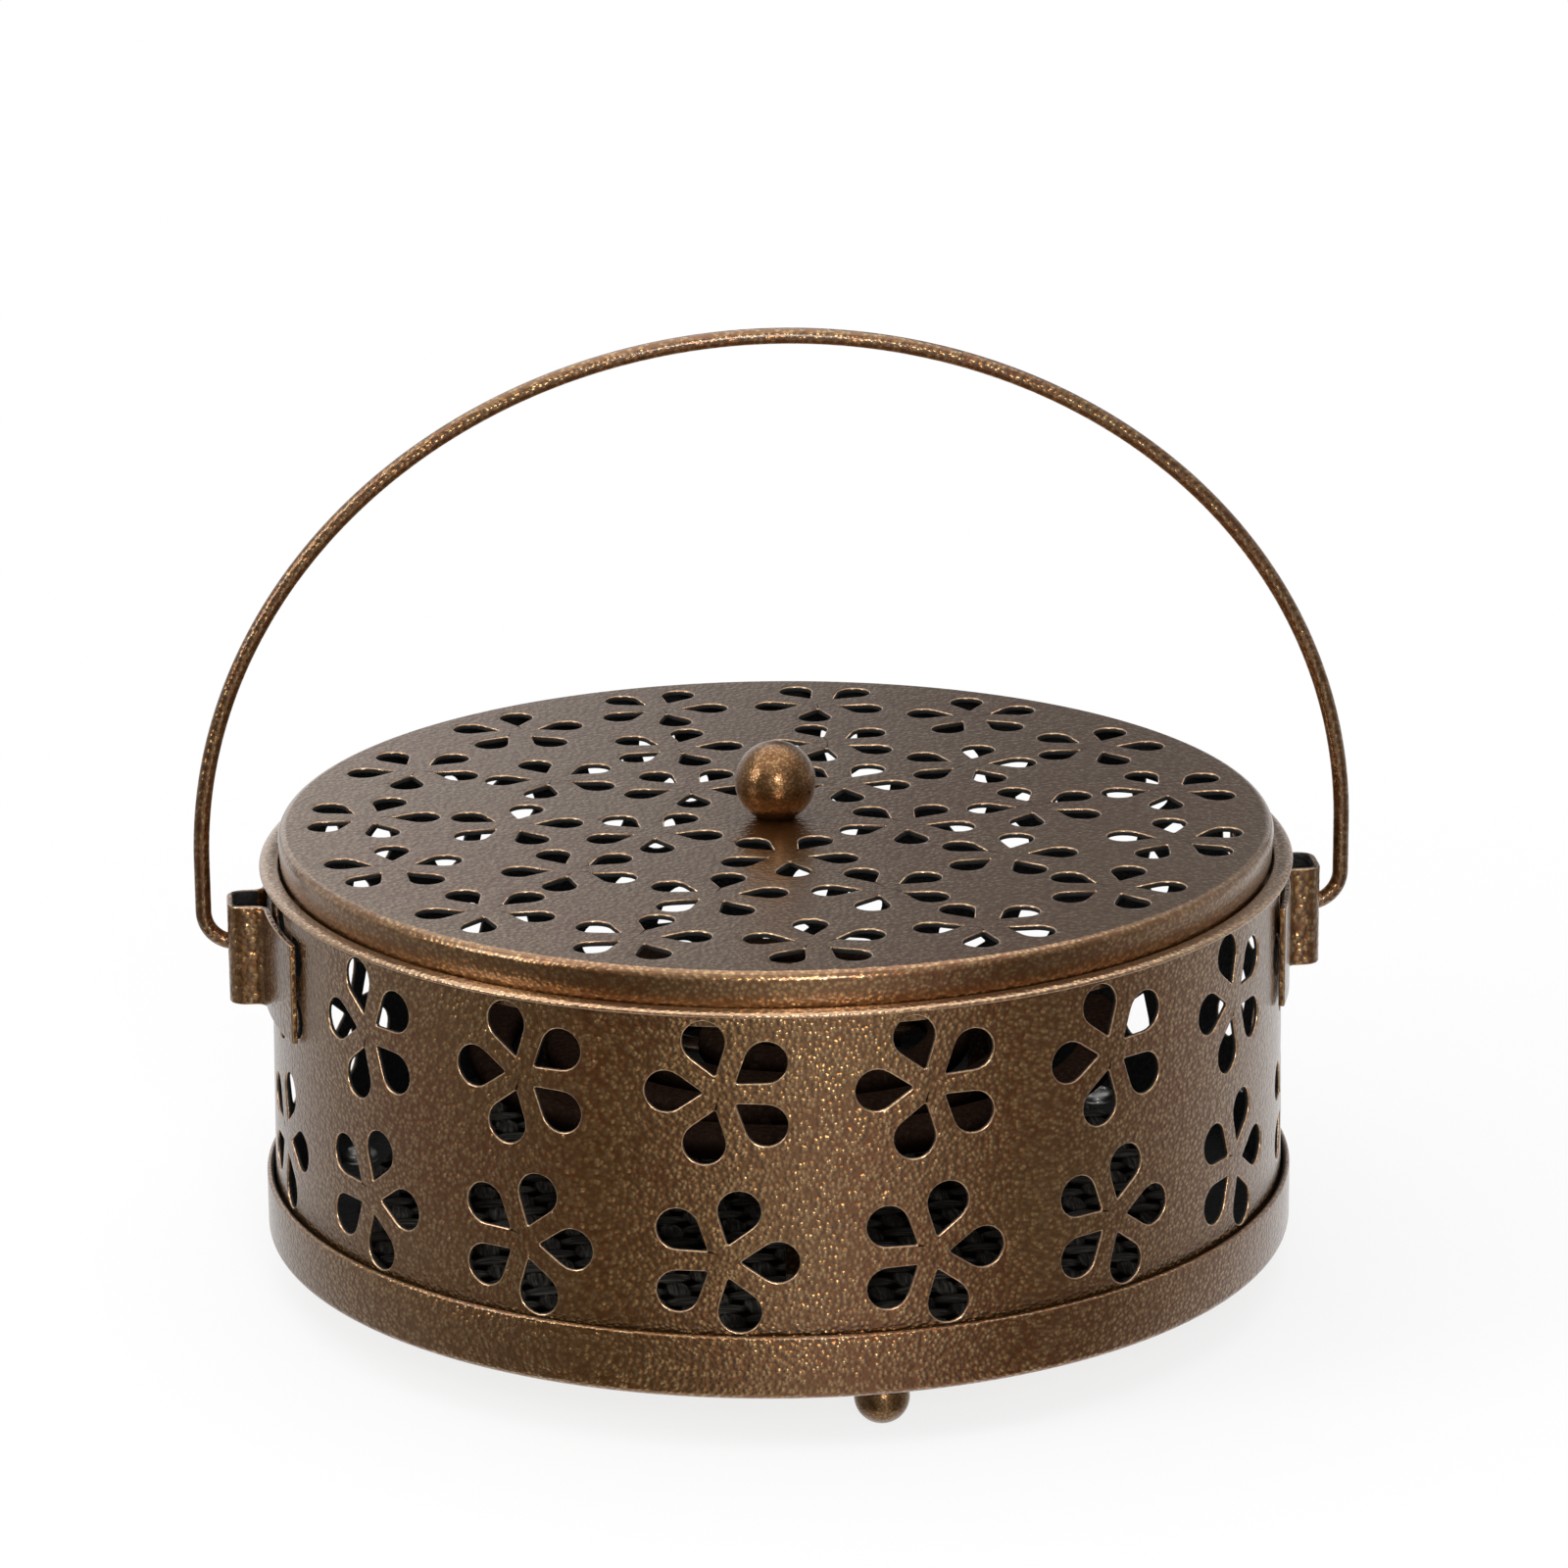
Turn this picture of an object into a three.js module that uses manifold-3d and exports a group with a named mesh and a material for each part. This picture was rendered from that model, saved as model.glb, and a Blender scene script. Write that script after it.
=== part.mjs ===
// Mosquito coil holder: a pressed steel tray on ball feet, a ring wall and a lid cut with
// five-petal flowers, a wire bail in two strap lugs, and inside a glass-fibre mat, a stand
// and the coil. Millimetres, +Z up. The origin is on the supporting plane under the centre,
// X runs along the bail's axis and -Y is the front.

import * as THREE from 'three';
import { mergeVertices } from 'three/addons/utils/BufferGeometryUtils.js';
import Module from 'manifold-3d';

const wasm = await Module();
wasm.setup();

// Clearances shared by all pieces
const fit_gap = 0.3;
const cut_overrun = 1;

// Body: heights above the supporting plane come from these
const foot_height = 7;
const body_height = 56;
const rim_diameter = 150;
const rim_overhang_out = 1.7;
const rim_overhang_in = 0.4;
const rim_lip_height = 1.1;
const wall_taper = 0.7;
const wall_sheet = 0.7;

// Tray: a shallow pressed dish whose band wraps the foot of the wall
const tray_band_height = 9.3;
const tray_sheet = 0.9;

// Wall flowers: two rows of teardrop petals, as wide as their cells but for a web. The lower
// cells dip a little behind the tray's band.
const wall_column_count = 16;
const wall_row_count = 2;
const wall_row_dip = 1.7;
const wall_flower_web = 3;
const wall_petal_shares = { start: 25 / 106, width: 59 / 106 };

// Lid: a pan turned upside down, whose drafted skirt wedges in the throat of the rim
const lid_height = 8;
const lid_drop = 2.7;
const lid_draft_angle = THREE.MathUtils.degToRad(4);
const lid_sheet = 0.8;
const lid_corner_radius = 1.3;
const lid_flower_share = 102 / 722;
const lid_flower_rings = [
  { count: 15, radius_share: 590 / 722, first_share: 0, turn: Math.PI },
  { count: 10, radius_share: 382 / 722, first_share: 1 / 2, turn: Math.PI },
  { count: 5, radius_share: 192 / 722, first_share: 0, turn: 0 },
];
const lid_petal_shares = { start: 30 / 102, width: 50 / 102 };

// Ball knob and feet: turned balls, flatted where they seat and bored for a screw
const knob_diameter = 11.8;
const knob_seat_diameter = 5.4;
const foot_pad_diameter = 3;
const foot_seat_land = 0.1;
const foot_inset = 8.8;
const foot_count = 3;
const foot_turn_angle = THREE.MathUtils.degToRad(7);
const screw_shank_diameter = 3;
const screw_head_diameter = 5.6;
const screw_head_height = 1.7;
const screw_reach = 3.6;

// Bail: one wire, an elliptic arch on short straight sides whose ends turn in at the pivots
const bail_wire_diameter = 2.3;
const bail_to_lug = 3.4;
const bail_arch_rise = 75;
const bail_arch_above_rim = 1;
const bail_bend_radius = 4.8;
const bail_end_to_wall = 1.4;
const bail_hole_play = 0.6;

// Lugs: omega straps of sheet with wide flanges that lie along the wall under the rim
const lug_sheet = 0.9;
const lug_reach = 6.5;
const lug_width = 8.6;
const lug_flange_width = 45;
const lug_height = 14.8;
const lug_below_rim = 5;
const lug_corner_radius = 2.4;
const lug_root_radius = 2;
const pivot_below_lug_top = 6.5;

// Coil: a flat spiral strand with a slotted head at its centre
const coil_pitch = 11.2;
const coil_strand_width = 6.3;
const coil_strand_height = 4.4;
const coil_edge_radius = 1.1;
const coil_turns = 3.95;
const coil_head_length = 13;
const coil_head_width = 8.4;
const coil_end_angle = THREE.MathUtils.degToRad(10);

// Stand: a pressed spider whose arms carry the coil and whose tongue pins its head
const stand_height = 24.2;
const stand_arm_count = 3;
const stand_sheet = 0.9;
const stand_arm_width = 5;
const stand_arm_reach = 37;
const stand_bend_radius = 2.2;
const stand_foot_length = 6;
const stand_hub_diameter = 15;
const stand_tongue_width = 3.6;
const stand_tongue_overhang = 3.2;

// Mat: a woven disc laid on the tray floor between the foot screws
const mat_to_screws = 1.6;
const mat_thickness = 1;

// Facet counts
const ring_facets = 3 * wall_column_count;
const lip_steps = 8;
const ball_facets = 14;
const ball_steps = 7;
const screw_facets = 10;
const wire_facets = 8;
const arch_steps = 28;
const bend_steps = 4;
const flange_steps = 3;
const wall_petal_steps = 5;
const lid_petal_steps = 5;
const coil_steps_per_turn = 24;

// Derived sizes and places
const tray_floor = foot_height + tray_sheet;
const rim_crown = foot_height + body_height;
const wall_foot = tray_floor;
const rim_lip_width = rim_overhang_out + wall_sheet + rim_overhang_in;
const wall_top_radius = rim_diameter / 2 - rim_overhang_out;
const wall_bottom_radius = wall_top_radius + wall_taper;
const tray_inner_radius = wall_bottom_radius + fit_gap;
const tray_outer_radius = tray_inner_radius + tray_sheet;
const tray_corner_radius = tray_sheet + fit_gap;
const lip_middle = rim_crown - rim_lip_height / 2;
const throat_radius = rim_diameter / 2 - rim_lip_width;
const wall_row_spacing = (body_height - tray_band_height + wall_row_dip) / wall_row_count;
const wall_column_spacing = 2 * Math.PI * wall_top_radius / wall_column_count;
const wall_flower_radius = (Math.min(wall_row_spacing, wall_column_spacing) - wall_flower_web) / 2;
const lid_top = lip_middle - lid_drop + lid_height;
const lug_top = rim_crown - lug_below_rim;
const lug_bottom = lug_top - lug_height;
const pivot_height = lug_top - pivot_below_lug_top;
const lug_outer = wall_top_radius + lug_reach;
const bail_half_width = lug_outer + bail_to_lug;
const bail_hole_radius = bail_wire_diameter / 2 + bail_hole_play;
const screw_hole_radius = screw_shank_diameter / 2 + fit_gap;
const foot_circle_radius = tray_outer_radius - foot_inset;
const mat_radius = foot_circle_radius - screw_head_diameter / 2 - mat_to_screws;
const mat_top = tray_floor + mat_thickness;
const stand_top = foot_height + stand_height;

// Outer radius of the slightly conical wall at a height
function wallRadius(z) {
  const share = (z - wall_foot) / (rim_crown - wall_foot);
  return wall_bottom_radius + share * (wall_top_radius - wall_bottom_radius);
}

// Closed mesh to solid and back
function solidOf(geometry) {
  const bare = geometry.index ? geometry.toNonIndexed() : geometry.clone();
  bare.deleteAttribute('normal');
  bare.deleteAttribute('uv');
  const merged = mergeVertices(bare);
  const corners = merged.index.array;
  const kept = [];
  for (let i = 0; i < corners.length; i += 3) {
    const [a, b, c] = [corners[i], corners[i + 1], corners[i + 2]];
    if (a !== b && b !== c && c !== a) kept.push(a, b, c);
  }
  return new wasm.Manifold(new wasm.Mesh({
    numProp: 3,
    vertProperties: new Float32Array(merged.attributes.position.array),
    triVerts: new Uint32Array(kept),
  }));
}

function geometryOf(solid) {
  const mesh = solid.getMesh();
  const geometry = new THREE.BufferGeometry();
  geometry.setAttribute('position', new THREE.BufferAttribute(new Float32Array(mesh.vertProperties), 3));
  geometry.setIndex(new THREE.BufferAttribute(new Uint32Array(mesh.triVerts), 1));
  return geometry;
}

// Profile of [radius, height] points, listed with its outside on the right, turned about Z
function turned(profile, facets) {
  const points = profile.map(([radius, height]) => new THREE.Vector2(radius, height));
  return new THREE.LatheGeometry(points, facets).rotateX(Math.PI / 2);
}

// Points of an arc or ellipse in a plane, both ends included
function arcPoints(centre, radii, from, to, steps) {
  return Array.from({ length: steps + 1 }, (unused, i) => {
    const angle = from + (to - from) * i / steps;
    return [centre[0] + radii[0] * Math.cos(angle), centre[1] + radii[1] * Math.sin(angle)];
  });
}

function shapeOf(points) {
  return new THREE.Shape(points.map(([x, y]) => new THREE.Vector2(x, y)));
}

function prism(shape, depth) {
  return new THREE.ExtrudeGeometry(shape, { depth, bevelEnabled: false });
}

// Outline of a bent sheet from its centre line: the line offset by half the sheet to each side
function sheetOutline(centre, sheet) {
  const side = (sign) => centre.map(([x, y], i) => {
    const [ax, ay] = centre[Math.max(i - 1, 0)];
    const [bx, by] = centre[Math.min(i + 1, centre.length - 1)];
    const length = Math.hypot(bx - ax, by - ay);
    const offset = sign * sheet / 2 / length;
    return [x - offset * (by - ay), y + offset * (bx - ax)];
  });
  return [...side(-1), ...side(1).reverse()];
}

// Convex section of [side, up] points, listed anticlockwise, carried along a flat path
function swept(path, section, up) {
  const positions = [];
  for (let i = 0; i < path.length; i += 1) {
    const before = path[Math.max(i - 1, 0)];
    const after = path[Math.min(i + 1, path.length - 1)];
    const side = new THREE.Vector3().subVectors(after, before).cross(up).normalize();
    for (const [across, above] of section) {
      const point = path[i].clone().addScaledVector(side, across).addScaledVector(up, above);
      positions.push(point.x, point.y, point.z);
    }
  }
  const ring = section.length;
  const faces = [];
  for (let i = 0; i < path.length - 1; i += 1) {
    for (let k = 0; k < ring; k += 1) {
      const here = i * ring + k;
      const next = i * ring + (k + 1) % ring;
      faces.push(here, here + ring, next + ring, here, next + ring, next);
    }
  }
  const last = (path.length - 1) * ring;
  for (let k = 1; k < ring - 1; k += 1) {
    faces.push(0, k, k + 1, last, last + k + 1, last + k);
  }
  const geometry = new THREE.BufferGeometry();
  geometry.setAttribute('position', new THREE.Float32BufferAttribute(positions, 3));
  geometry.setIndex(faces);
  return geometry;
}

// Teardrop petal along +x from the flower's centre: a point inward and a round end outward
function petalShape(flower_radius, shares, steps) {
  const start = shares.start * flower_radius;
  const radius = shares.width * flower_radius / 2;
  const middle = flower_radius - radius;
  const tangent = Math.PI - Math.acos(radius / (middle - start));
  return shapeOf([[start, 0], ...arcPoints([middle, 0], [radius, radius], -tangent, tangent, steps)]);
}

// Five petals as cutters about one flower's centre, the first along the given turn
function flowerCutter(shape, depth, turn) {
  let flower = null;
  for (let k = 0; k < 5; k += 1) {
    const petal = prism(shape, depth).rotateZ(turn + k * 2 * Math.PI / 5);
    flower = flower ? flower.add(solidOf(petal)) : solidOf(petal);
  }
  return flower;
}

// Ring wall: a slightly conical sheet with a flat rolled lip, cut by two rows of flowers
function wallGeometry() {
  const lip_centre = [rim_diameter / 2 - rim_lip_width / 2, lip_middle];
  const lip_radii = [rim_lip_width / 2, rim_lip_height / 2];
  const outer_angle = Math.acos((wall_top_radius - lip_centre[0]) / lip_radii[0]);
  const inner_angle = Math.acos((wall_top_radius - wall_sheet - lip_centre[0]) / lip_radii[0]);
  const profile = [
    [wall_bottom_radius - wall_sheet, wall_foot],
    [wall_bottom_radius, wall_foot],
    ...arcPoints(lip_centre, lip_radii, -outer_angle, 2 * Math.PI - inner_angle, lip_steps),
  ];
  const blank = solidOf(turned([...profile, profile[0]], ring_facets));

  const petal = petalShape(wall_flower_radius, wall_petal_shares, wall_petal_steps);
  const depth = wall_bottom_radius - throat_radius + wall_sheet + 2 * cut_overrun;
  let cutter = null;
  for (let row = 0; row < wall_row_count; row += 1) {
    const height = rim_crown - (row + 1 / 2) * wall_row_spacing;
    const flower = flowerCutter(petal, depth, (row + 1) % 2 * Math.PI);
    for (let column = 0; column < wall_column_count; column += 1) {
      const angle = -Math.PI / 2 + (column + 1 / 2) * 2 * Math.PI / wall_column_count;
      const outward = new THREE.Vector3(Math.cos(angle), Math.sin(angle), 0);
      const along = new THREE.Vector3(-Math.sin(angle), Math.cos(angle), 0);
      const place = new THREE.Matrix4().makeBasis(along, new THREE.Vector3(0, 0, 1), outward);
      place.setPosition(outward.multiplyScalar(wallRadius(height) - depth / 2).setZ(height));
      const placed = flower.transform(place.elements);
      cutter = cutter ? cutter.add(placed) : placed;
    }
  }
  return geometryOf(blank.subtract(cutter));
}

// Places of the foot screws, the first a little to the right of the front
function footPlaces() {
  return Array.from({ length: foot_count }, (unused, i) => {
    const angle = -Math.PI / 2 + foot_turn_angle + i * 2 * Math.PI / foot_count;
    return [foot_circle_radius * Math.cos(angle), foot_circle_radius * Math.sin(angle)];
  });
}

// Tray: floor, rounded corner and upright band, with three screw holes in the floor
function trayGeometry() {
  const corner = [tray_outer_radius - tray_corner_radius, foot_height + tray_corner_radius];
  const inner_corner = tray_corner_radius - tray_sheet;
  const band_top = foot_height + tray_band_height;
  const profile = [
    [0, foot_height],
    ...arcPoints(corner, [tray_corner_radius, tray_corner_radius], -Math.PI / 2, 0, bend_steps),
    [tray_outer_radius, band_top],
    [tray_inner_radius, band_top],
    ...arcPoints(corner, [inner_corner, inner_corner], 0, -Math.PI / 2, 1),
    [0, tray_floor],
  ];
  let solid = solidOf(turned(profile, ring_facets));
  for (const [x, y] of footPlaces()) {
    const hole = new THREE.CylinderGeometry(
      screw_hole_radius, screw_hole_radius, tray_sheet + 2 * cut_overrun, screw_facets);
    hole.rotateX(Math.PI / 2).translate(x, y, foot_height + tray_sheet / 2);
    solid = solid.subtract(solidOf(hole));
  }
  return geometryOf(solid);
}

// Lid: top disc, rounded edge and drafted skirt, cut by three rings of flowers
function lidGeometry() {
  const draft = Math.tan(lid_draft_angle);
  const skirt_bottom = lid_top - lid_height;
  const skirtRadius = (z) => throat_radius - fit_gap + draft * (z - lip_middle);
  const corner_height = lid_top - lid_corner_radius;
  const corner = [skirtRadius(corner_height) - lid_corner_radius, corner_height];
  const inner_corner = lid_corner_radius - lid_sheet;
  const profile = [
    [screw_hole_radius, lid_top - lid_sheet],
    ...arcPoints(corner, [inner_corner, inner_corner], Math.PI / 2, 0, 1),
    [skirtRadius(skirt_bottom) - lid_sheet, skirt_bottom],
    [skirtRadius(skirt_bottom), skirt_bottom],
    ...arcPoints(corner, [lid_corner_radius, lid_corner_radius], 0, Math.PI / 2, bend_steps - 1),
    [screw_hole_radius, lid_top],
  ];
  const blank = solidOf(turned([...profile, profile[0]], ring_facets));

  const petal = petalShape(lid_flower_share * throat_radius, lid_petal_shares, lid_petal_steps);
  const depth = lid_sheet + 2 * cut_overrun;
  let cutter = null;
  for (const { count, radius_share, first_share, turn } of lid_flower_rings) {
    const radius = radius_share * throat_radius;
    const flower = flowerCutter(petal, depth, turn);
    for (let i = 0; i < count; i += 1) {
      const angle = -Math.PI / 2 + (i + first_share) * 2 * Math.PI / count;
      const place = new THREE.Matrix4().makeRotationZ(angle);
      place.setPosition(radius * Math.cos(angle), radius * Math.sin(angle), lid_top - lid_sheet - cut_overrun);
      const placed = flower.transform(place.elements);
      cutter = cutter ? cutter.add(placed) : placed;
    }
  }
  return geometryOf(blank.subtract(cutter));
}

// Turned ball about its own centre, flatted at the bottom and top and bored from one end
function ballProfile(radius, bottom, top, bore_radius, bore_depth, bore_at_top) {
  const low = Math.asin(bottom / radius);
  const high = Math.asin(top / radius);
  const skin = arcPoints([0, 0], [radius, radius], low, high, ball_steps);
  if (bore_at_top) {
    return [[0, bottom], ...skin, [bore_radius, top], [bore_radius, top - bore_depth], [0, top - bore_depth]];
  }
  return [[0, bottom + bore_depth], [bore_radius, bottom + bore_depth], [bore_radius, bottom], ...skin];
}

// Ball knob on the lid, its centre at the group's origin, its seat flat below
function knobSeat() {
  return Math.sqrt((knob_diameter / 2) ** 2 - (knob_seat_diameter / 2) ** 2);
}

function knobGeometry() {
  const bore_depth = screw_reach + fit_gap;
  return turned(ballProfile(
    knob_diameter / 2, -knobSeat(), knob_diameter / 2, screw_hole_radius, bore_depth, false), ball_facets);
}

// Ball foot between two flats, a pad below and a seat round the bore above: the height of
// its centre, from both flats and the height between them
function footCentre() {
  const pad = foot_pad_diameter / 2;
  const seat = screw_hole_radius + foot_seat_land;
  return (foot_height + (seat ** 2 - pad ** 2) / foot_height) / 2;
}

function footGeometry() {
  const bore_depth = screw_reach + fit_gap;
  const radius = Math.hypot(footCentre(), foot_pad_diameter / 2);
  return turned(ballProfile(
    radius, -footCentre(), foot_height - footCentre(), screw_hole_radius, bore_depth, true), ball_facets);
}

// Round-headed screw pointing down, the underside of its head at the group's origin
function screwGeometry(grip) {
  const shank = screw_shank_diameter / 2;
  const head = screw_head_diameter / 2;
  const tip = -grip - screw_reach;
  const rim = screw_head_height / 3;
  return turned([
    [0, tip], [shank, tip], [shank, 0], [head, 0], [head, rim],
    ...arcPoints([0, rim], [head, screw_head_height - rim], Math.PI / 6, Math.PI / 2, 2),
  ], screw_facets);
}

// Bail path from the left end to the right, in the plane y = 0
function bailPath() {
  const arch_foot = rim_crown + bail_arch_above_rim;
  const bend = [bail_half_width - bail_bend_radius, pivot_height + bail_bend_radius];
  const end = wallRadius(pivot_height) + bail_end_to_wall;
  const half = [
    [end, pivot_height],
    ...arcPoints(bend, [bail_bend_radius, bail_bend_radius], -Math.PI / 2, 0, bend_steps),
    ...arcPoints([0, arch_foot], [bail_half_width, bail_arch_rise], 0, Math.PI / 2, arch_steps / 2),
  ];
  const mirrored = half.slice(0, -1).reverse().map(([x, z]) => [-x, z]);
  return [...half, ...mirrored].map(([x, z]) => new THREE.Vector3(x, 0, z));
}

function bailGeometry() {
  const radius = bail_wire_diameter / 2;
  const section = arcPoints([0, 0], [radius, radius], 0, 2 * Math.PI, wire_facets).slice(0, -1);
  return swept(bailPath(), section, new THREE.Vector3(0, 1, 0));
}

// Lug on the +X side: an omega strap in plan, with the bail's hole through its outer face
function lugGeometry() {
  const flange = wallRadius(lug_bottom) + fit_gap + lug_sheet / 2;
  const side = (lug_width - lug_sheet) / 2;
  const face = lug_outer - lug_sheet / 2;
  const root_y = side + lug_root_radius;
  const root_x = Math.sqrt((flange + lug_root_radius) ** 2 - root_y ** 2);
  const root_angle = Math.asin(root_y / (flange + lug_root_radius));
  const flange_angle = Math.asin(lug_flange_width / 2 / flange);
  const root = [lug_root_radius, lug_root_radius];
  const corner = [lug_corner_radius - lug_sheet / 2, lug_corner_radius - lug_sheet / 2];
  const half = [
    ...arcPoints([0, 0], [flange, flange], flange_angle, root_angle, flange_steps),
    ...arcPoints([root_x, root_y], root, Math.PI + root_angle, Math.PI * 3 / 2, bend_steps - 1).slice(1),
    ...arcPoints([face - corner[0], side - corner[0]], corner, Math.PI / 2, 0, bend_steps),
  ];
  const mirrored = half.slice().reverse().map(([x, y]) => [x, -y]);
  const outline = sheetOutline([...half, ...mirrored], lug_sheet);
  const strap = prism(shapeOf(outline), lug_height).translate(0, 0, lug_bottom);
  const hole = new THREE.CylinderGeometry(
    bail_hole_radius, bail_hole_radius, lug_sheet + 2 * cut_overrun, wire_facets + 2);
  hole.rotateZ(Math.PI / 2).translate(face, 0, pivot_height);
  return geometryOf(solidOf(strap).subtract(solidOf(hole)));
}

// Spiral centre line from the head outwards, anticlockwise seen from above
function coilPath() {
  const steps = Math.round(coil_turns * coil_steps_per_turn);
  const outer_angle = coil_end_angle;
  return Array.from({ length: steps + 1 }, (unused, i) => {
    const turns = coil_turns * i / steps;
    const radius = coil_pitch * (turns + 1 / 3);
    const angle = outer_angle - 2 * Math.PI * (coil_turns - turns);
    return new THREE.Vector3(radius * Math.cos(angle), radius * Math.sin(angle), 0);
  });
}

// Least gap between neighbouring turns, from the path's own points
function leastCoilGap(path) {
  let least = Infinity;
  for (let i = 0; i < path.length; i += 1) {
    for (let k = i + Math.round(coil_steps_per_turn / 2); k < path.length; k += 1) {
      least = Math.min(least, path[i].distanceTo(path[k]) - coil_strand_width);
    }
  }
  return least;
}

// Coil: the strand with eased upper edges, joined to a slotted head over the stand's tongue
function coilGeometry() {
  const half = coil_strand_width / 2;
  const edge = coil_edge_radius;
  const section = [
    [-half, 0], [half, 0], [half, coil_strand_height - edge],
    [half - edge, coil_strand_height], [edge - half, coil_strand_height], [-half, coil_strand_height - edge],
  ];
  const path = coilPath();
  console.log(`least gap between coil turns: ${leastCoilGap(path).toFixed(2)} mm`);
  const strand = solidOf(swept(path, section, new THREE.Vector3(0, 0, 1)));

  const radii = [coil_head_length / 2, coil_head_width / 2];
  const head = prism(shapeOf(arcPoints([0, 0], radii, 0, 2 * Math.PI, ball_facets).slice(0, -1)), coil_strand_height);
  const slot = new THREE.BoxGeometry(
    stand_tongue_width + 2 * fit_gap, stand_sheet + 2 * fit_gap, coil_strand_height + 2 * cut_overrun);
  slot.translate(0, 0, coil_strand_height / 2);
  const whole = strand.add(solidOf(head)).subtract(solidOf(slot));
  return geometryOf(whole).translate(0, 0, stand_top);
}

// Stand: bent strip arms from a hub to the mat, with an upright tongue through the coil's head
function standGeometry() {
  const half_sheet = stand_sheet / 2;
  const deck = stand_top - half_sheet;
  const sole = mat_top + half_sheet;
  const bend = stand_bend_radius;
  const line = [
    [0, deck],
    ...arcPoints([stand_arm_reach - bend, deck - bend], [bend, bend], Math.PI / 2, 0, bend_steps),
    ...arcPoints([stand_arm_reach + bend, sole + bend], [bend, bend], Math.PI, Math.PI * 3 / 2, bend_steps),
    [stand_arm_reach + bend + stand_foot_length, sole],
  ];
  const arm = prism(shapeOf(sheetOutline(line, stand_sheet)), stand_arm_width);
  arm.translate(0, 0, -stand_arm_width / 2).rotateX(Math.PI / 2);
  const hub = new THREE.CylinderGeometry(stand_hub_diameter / 2, stand_hub_diameter / 2, stand_sheet, 20);
  hub.rotateX(Math.PI / 2).translate(0, 0, deck);
  let solid = solidOf(hub);
  for (let i = 0; i < stand_arm_count; i += 1) {
    const turned_arm = arm.clone().rotateZ(Math.PI / 6 + i * 2 * Math.PI / stand_arm_count);
    solid = solid.add(solidOf(turned_arm));
  }
  const tongue_height = stand_sheet + coil_strand_height + stand_tongue_overhang;
  const half = stand_tongue_width / 2;
  const shoulder = tongue_height - stand_tongue_overhang / 2;
  const tongue = prism(shapeOf([
    [-half, 0], [half, 0], [half, shoulder], [half / 2, tongue_height], [-half / 2, tongue_height],
    [-half, shoulder],
  ]), stand_sheet);
  tongue.translate(0, 0, -half_sheet).rotateX(Math.PI / 2).translate(0, 0, stand_top - stand_sheet);
  return geometryOf(solid.add(solidOf(tongue)));
}

function matGeometry() {
  const mat = new THREE.CylinderGeometry(mat_radius, mat_radius, mat_thickness, ring_facets);
  return mat.rotateX(Math.PI / 2).translate(0, 0, tray_floor + mat_thickness / 2);
}

// Finishes
const bronze = new THREE.MeshStandardMaterial({ color: 0x6b4e2e, roughness: 0.45, metalness: 0.8 });
const bare_steel = new THREE.MeshStandardMaterial({ color: 0x9a9a98, roughness: 0.35, metalness: 1 });
const pressed_wood_dust = new THREE.MeshStandardMaterial({ color: 0x4a3222, roughness: 0.95, metalness: 0 });
const glass_fibre = new THREE.MeshStandardMaterial({ color: 0x66625c, roughness: 0.8, metalness: 0 });

const holder = new THREE.Group();

function place(name, geometry, material, parent = holder) {
  const mesh = new THREE.Mesh(geometry, material);
  mesh.name = name;
  parent.add(mesh);
  return mesh;
}

// Body
place('base_tray', trayGeometry(), bronze);
place('perforated_wall', wallGeometry(), bronze);
const lug = lugGeometry();
place('lug_right', lug, bronze);
place('lug_left', lug, bronze).rotation.z = Math.PI;
footPlaces().forEach(([x, y], i) => {
  place(`foot_${i + 1}`, footGeometry(), bronze).position.set(x, y, footCentre());
  place(`foot_screw_${i + 1}`, screwGeometry(tray_sheet), bare_steel).position.set(x, y, tray_floor);
});

// Inside
place('glass_fibre_mat', matGeometry(), glass_fibre);
place('coil_stand', standGeometry(), bronze);
place('mosquito_coil', coilGeometry(), pressed_wood_dust);

// Lid and bail
place('lid', lidGeometry(), bronze);
place('lid_knob', knobGeometry(), bronze).position.set(0, 0, lid_top + knobSeat());
const knob_screw = place('knob_screw', screwGeometry(lid_sheet), bare_steel);
knob_screw.rotation.x = Math.PI;
knob_screw.position.set(0, 0, lid_top - lid_sheet);
place('bail_handle', bailGeometry(), bronze);

export default holder;
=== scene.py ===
"""The looks of a mosquito coil holder: pierced sheet, rolled rim, turned balls, bent wire, pressed coil and
woven mat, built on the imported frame. Shapes are worked out in millimetres and stored in metres."""

import math

import bpy
import numpy as np
from mathutils import Matrix, Vector
from mathutils.geometry import delaunay_2d_cdt


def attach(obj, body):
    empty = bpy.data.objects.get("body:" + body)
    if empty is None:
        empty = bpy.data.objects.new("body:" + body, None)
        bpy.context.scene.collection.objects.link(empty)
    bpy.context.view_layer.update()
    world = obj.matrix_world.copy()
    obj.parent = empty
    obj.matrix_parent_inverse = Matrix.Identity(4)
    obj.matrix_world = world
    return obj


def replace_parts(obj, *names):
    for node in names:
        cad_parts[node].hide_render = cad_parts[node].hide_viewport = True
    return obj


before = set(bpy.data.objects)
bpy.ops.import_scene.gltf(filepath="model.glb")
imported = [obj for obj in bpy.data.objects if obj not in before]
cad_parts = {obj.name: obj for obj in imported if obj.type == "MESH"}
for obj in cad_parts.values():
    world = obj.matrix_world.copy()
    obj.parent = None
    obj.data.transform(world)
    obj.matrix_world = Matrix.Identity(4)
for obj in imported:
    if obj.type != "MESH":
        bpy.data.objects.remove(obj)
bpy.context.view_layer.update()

MM = 0.001
TAU = 2 * np.pi

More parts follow.
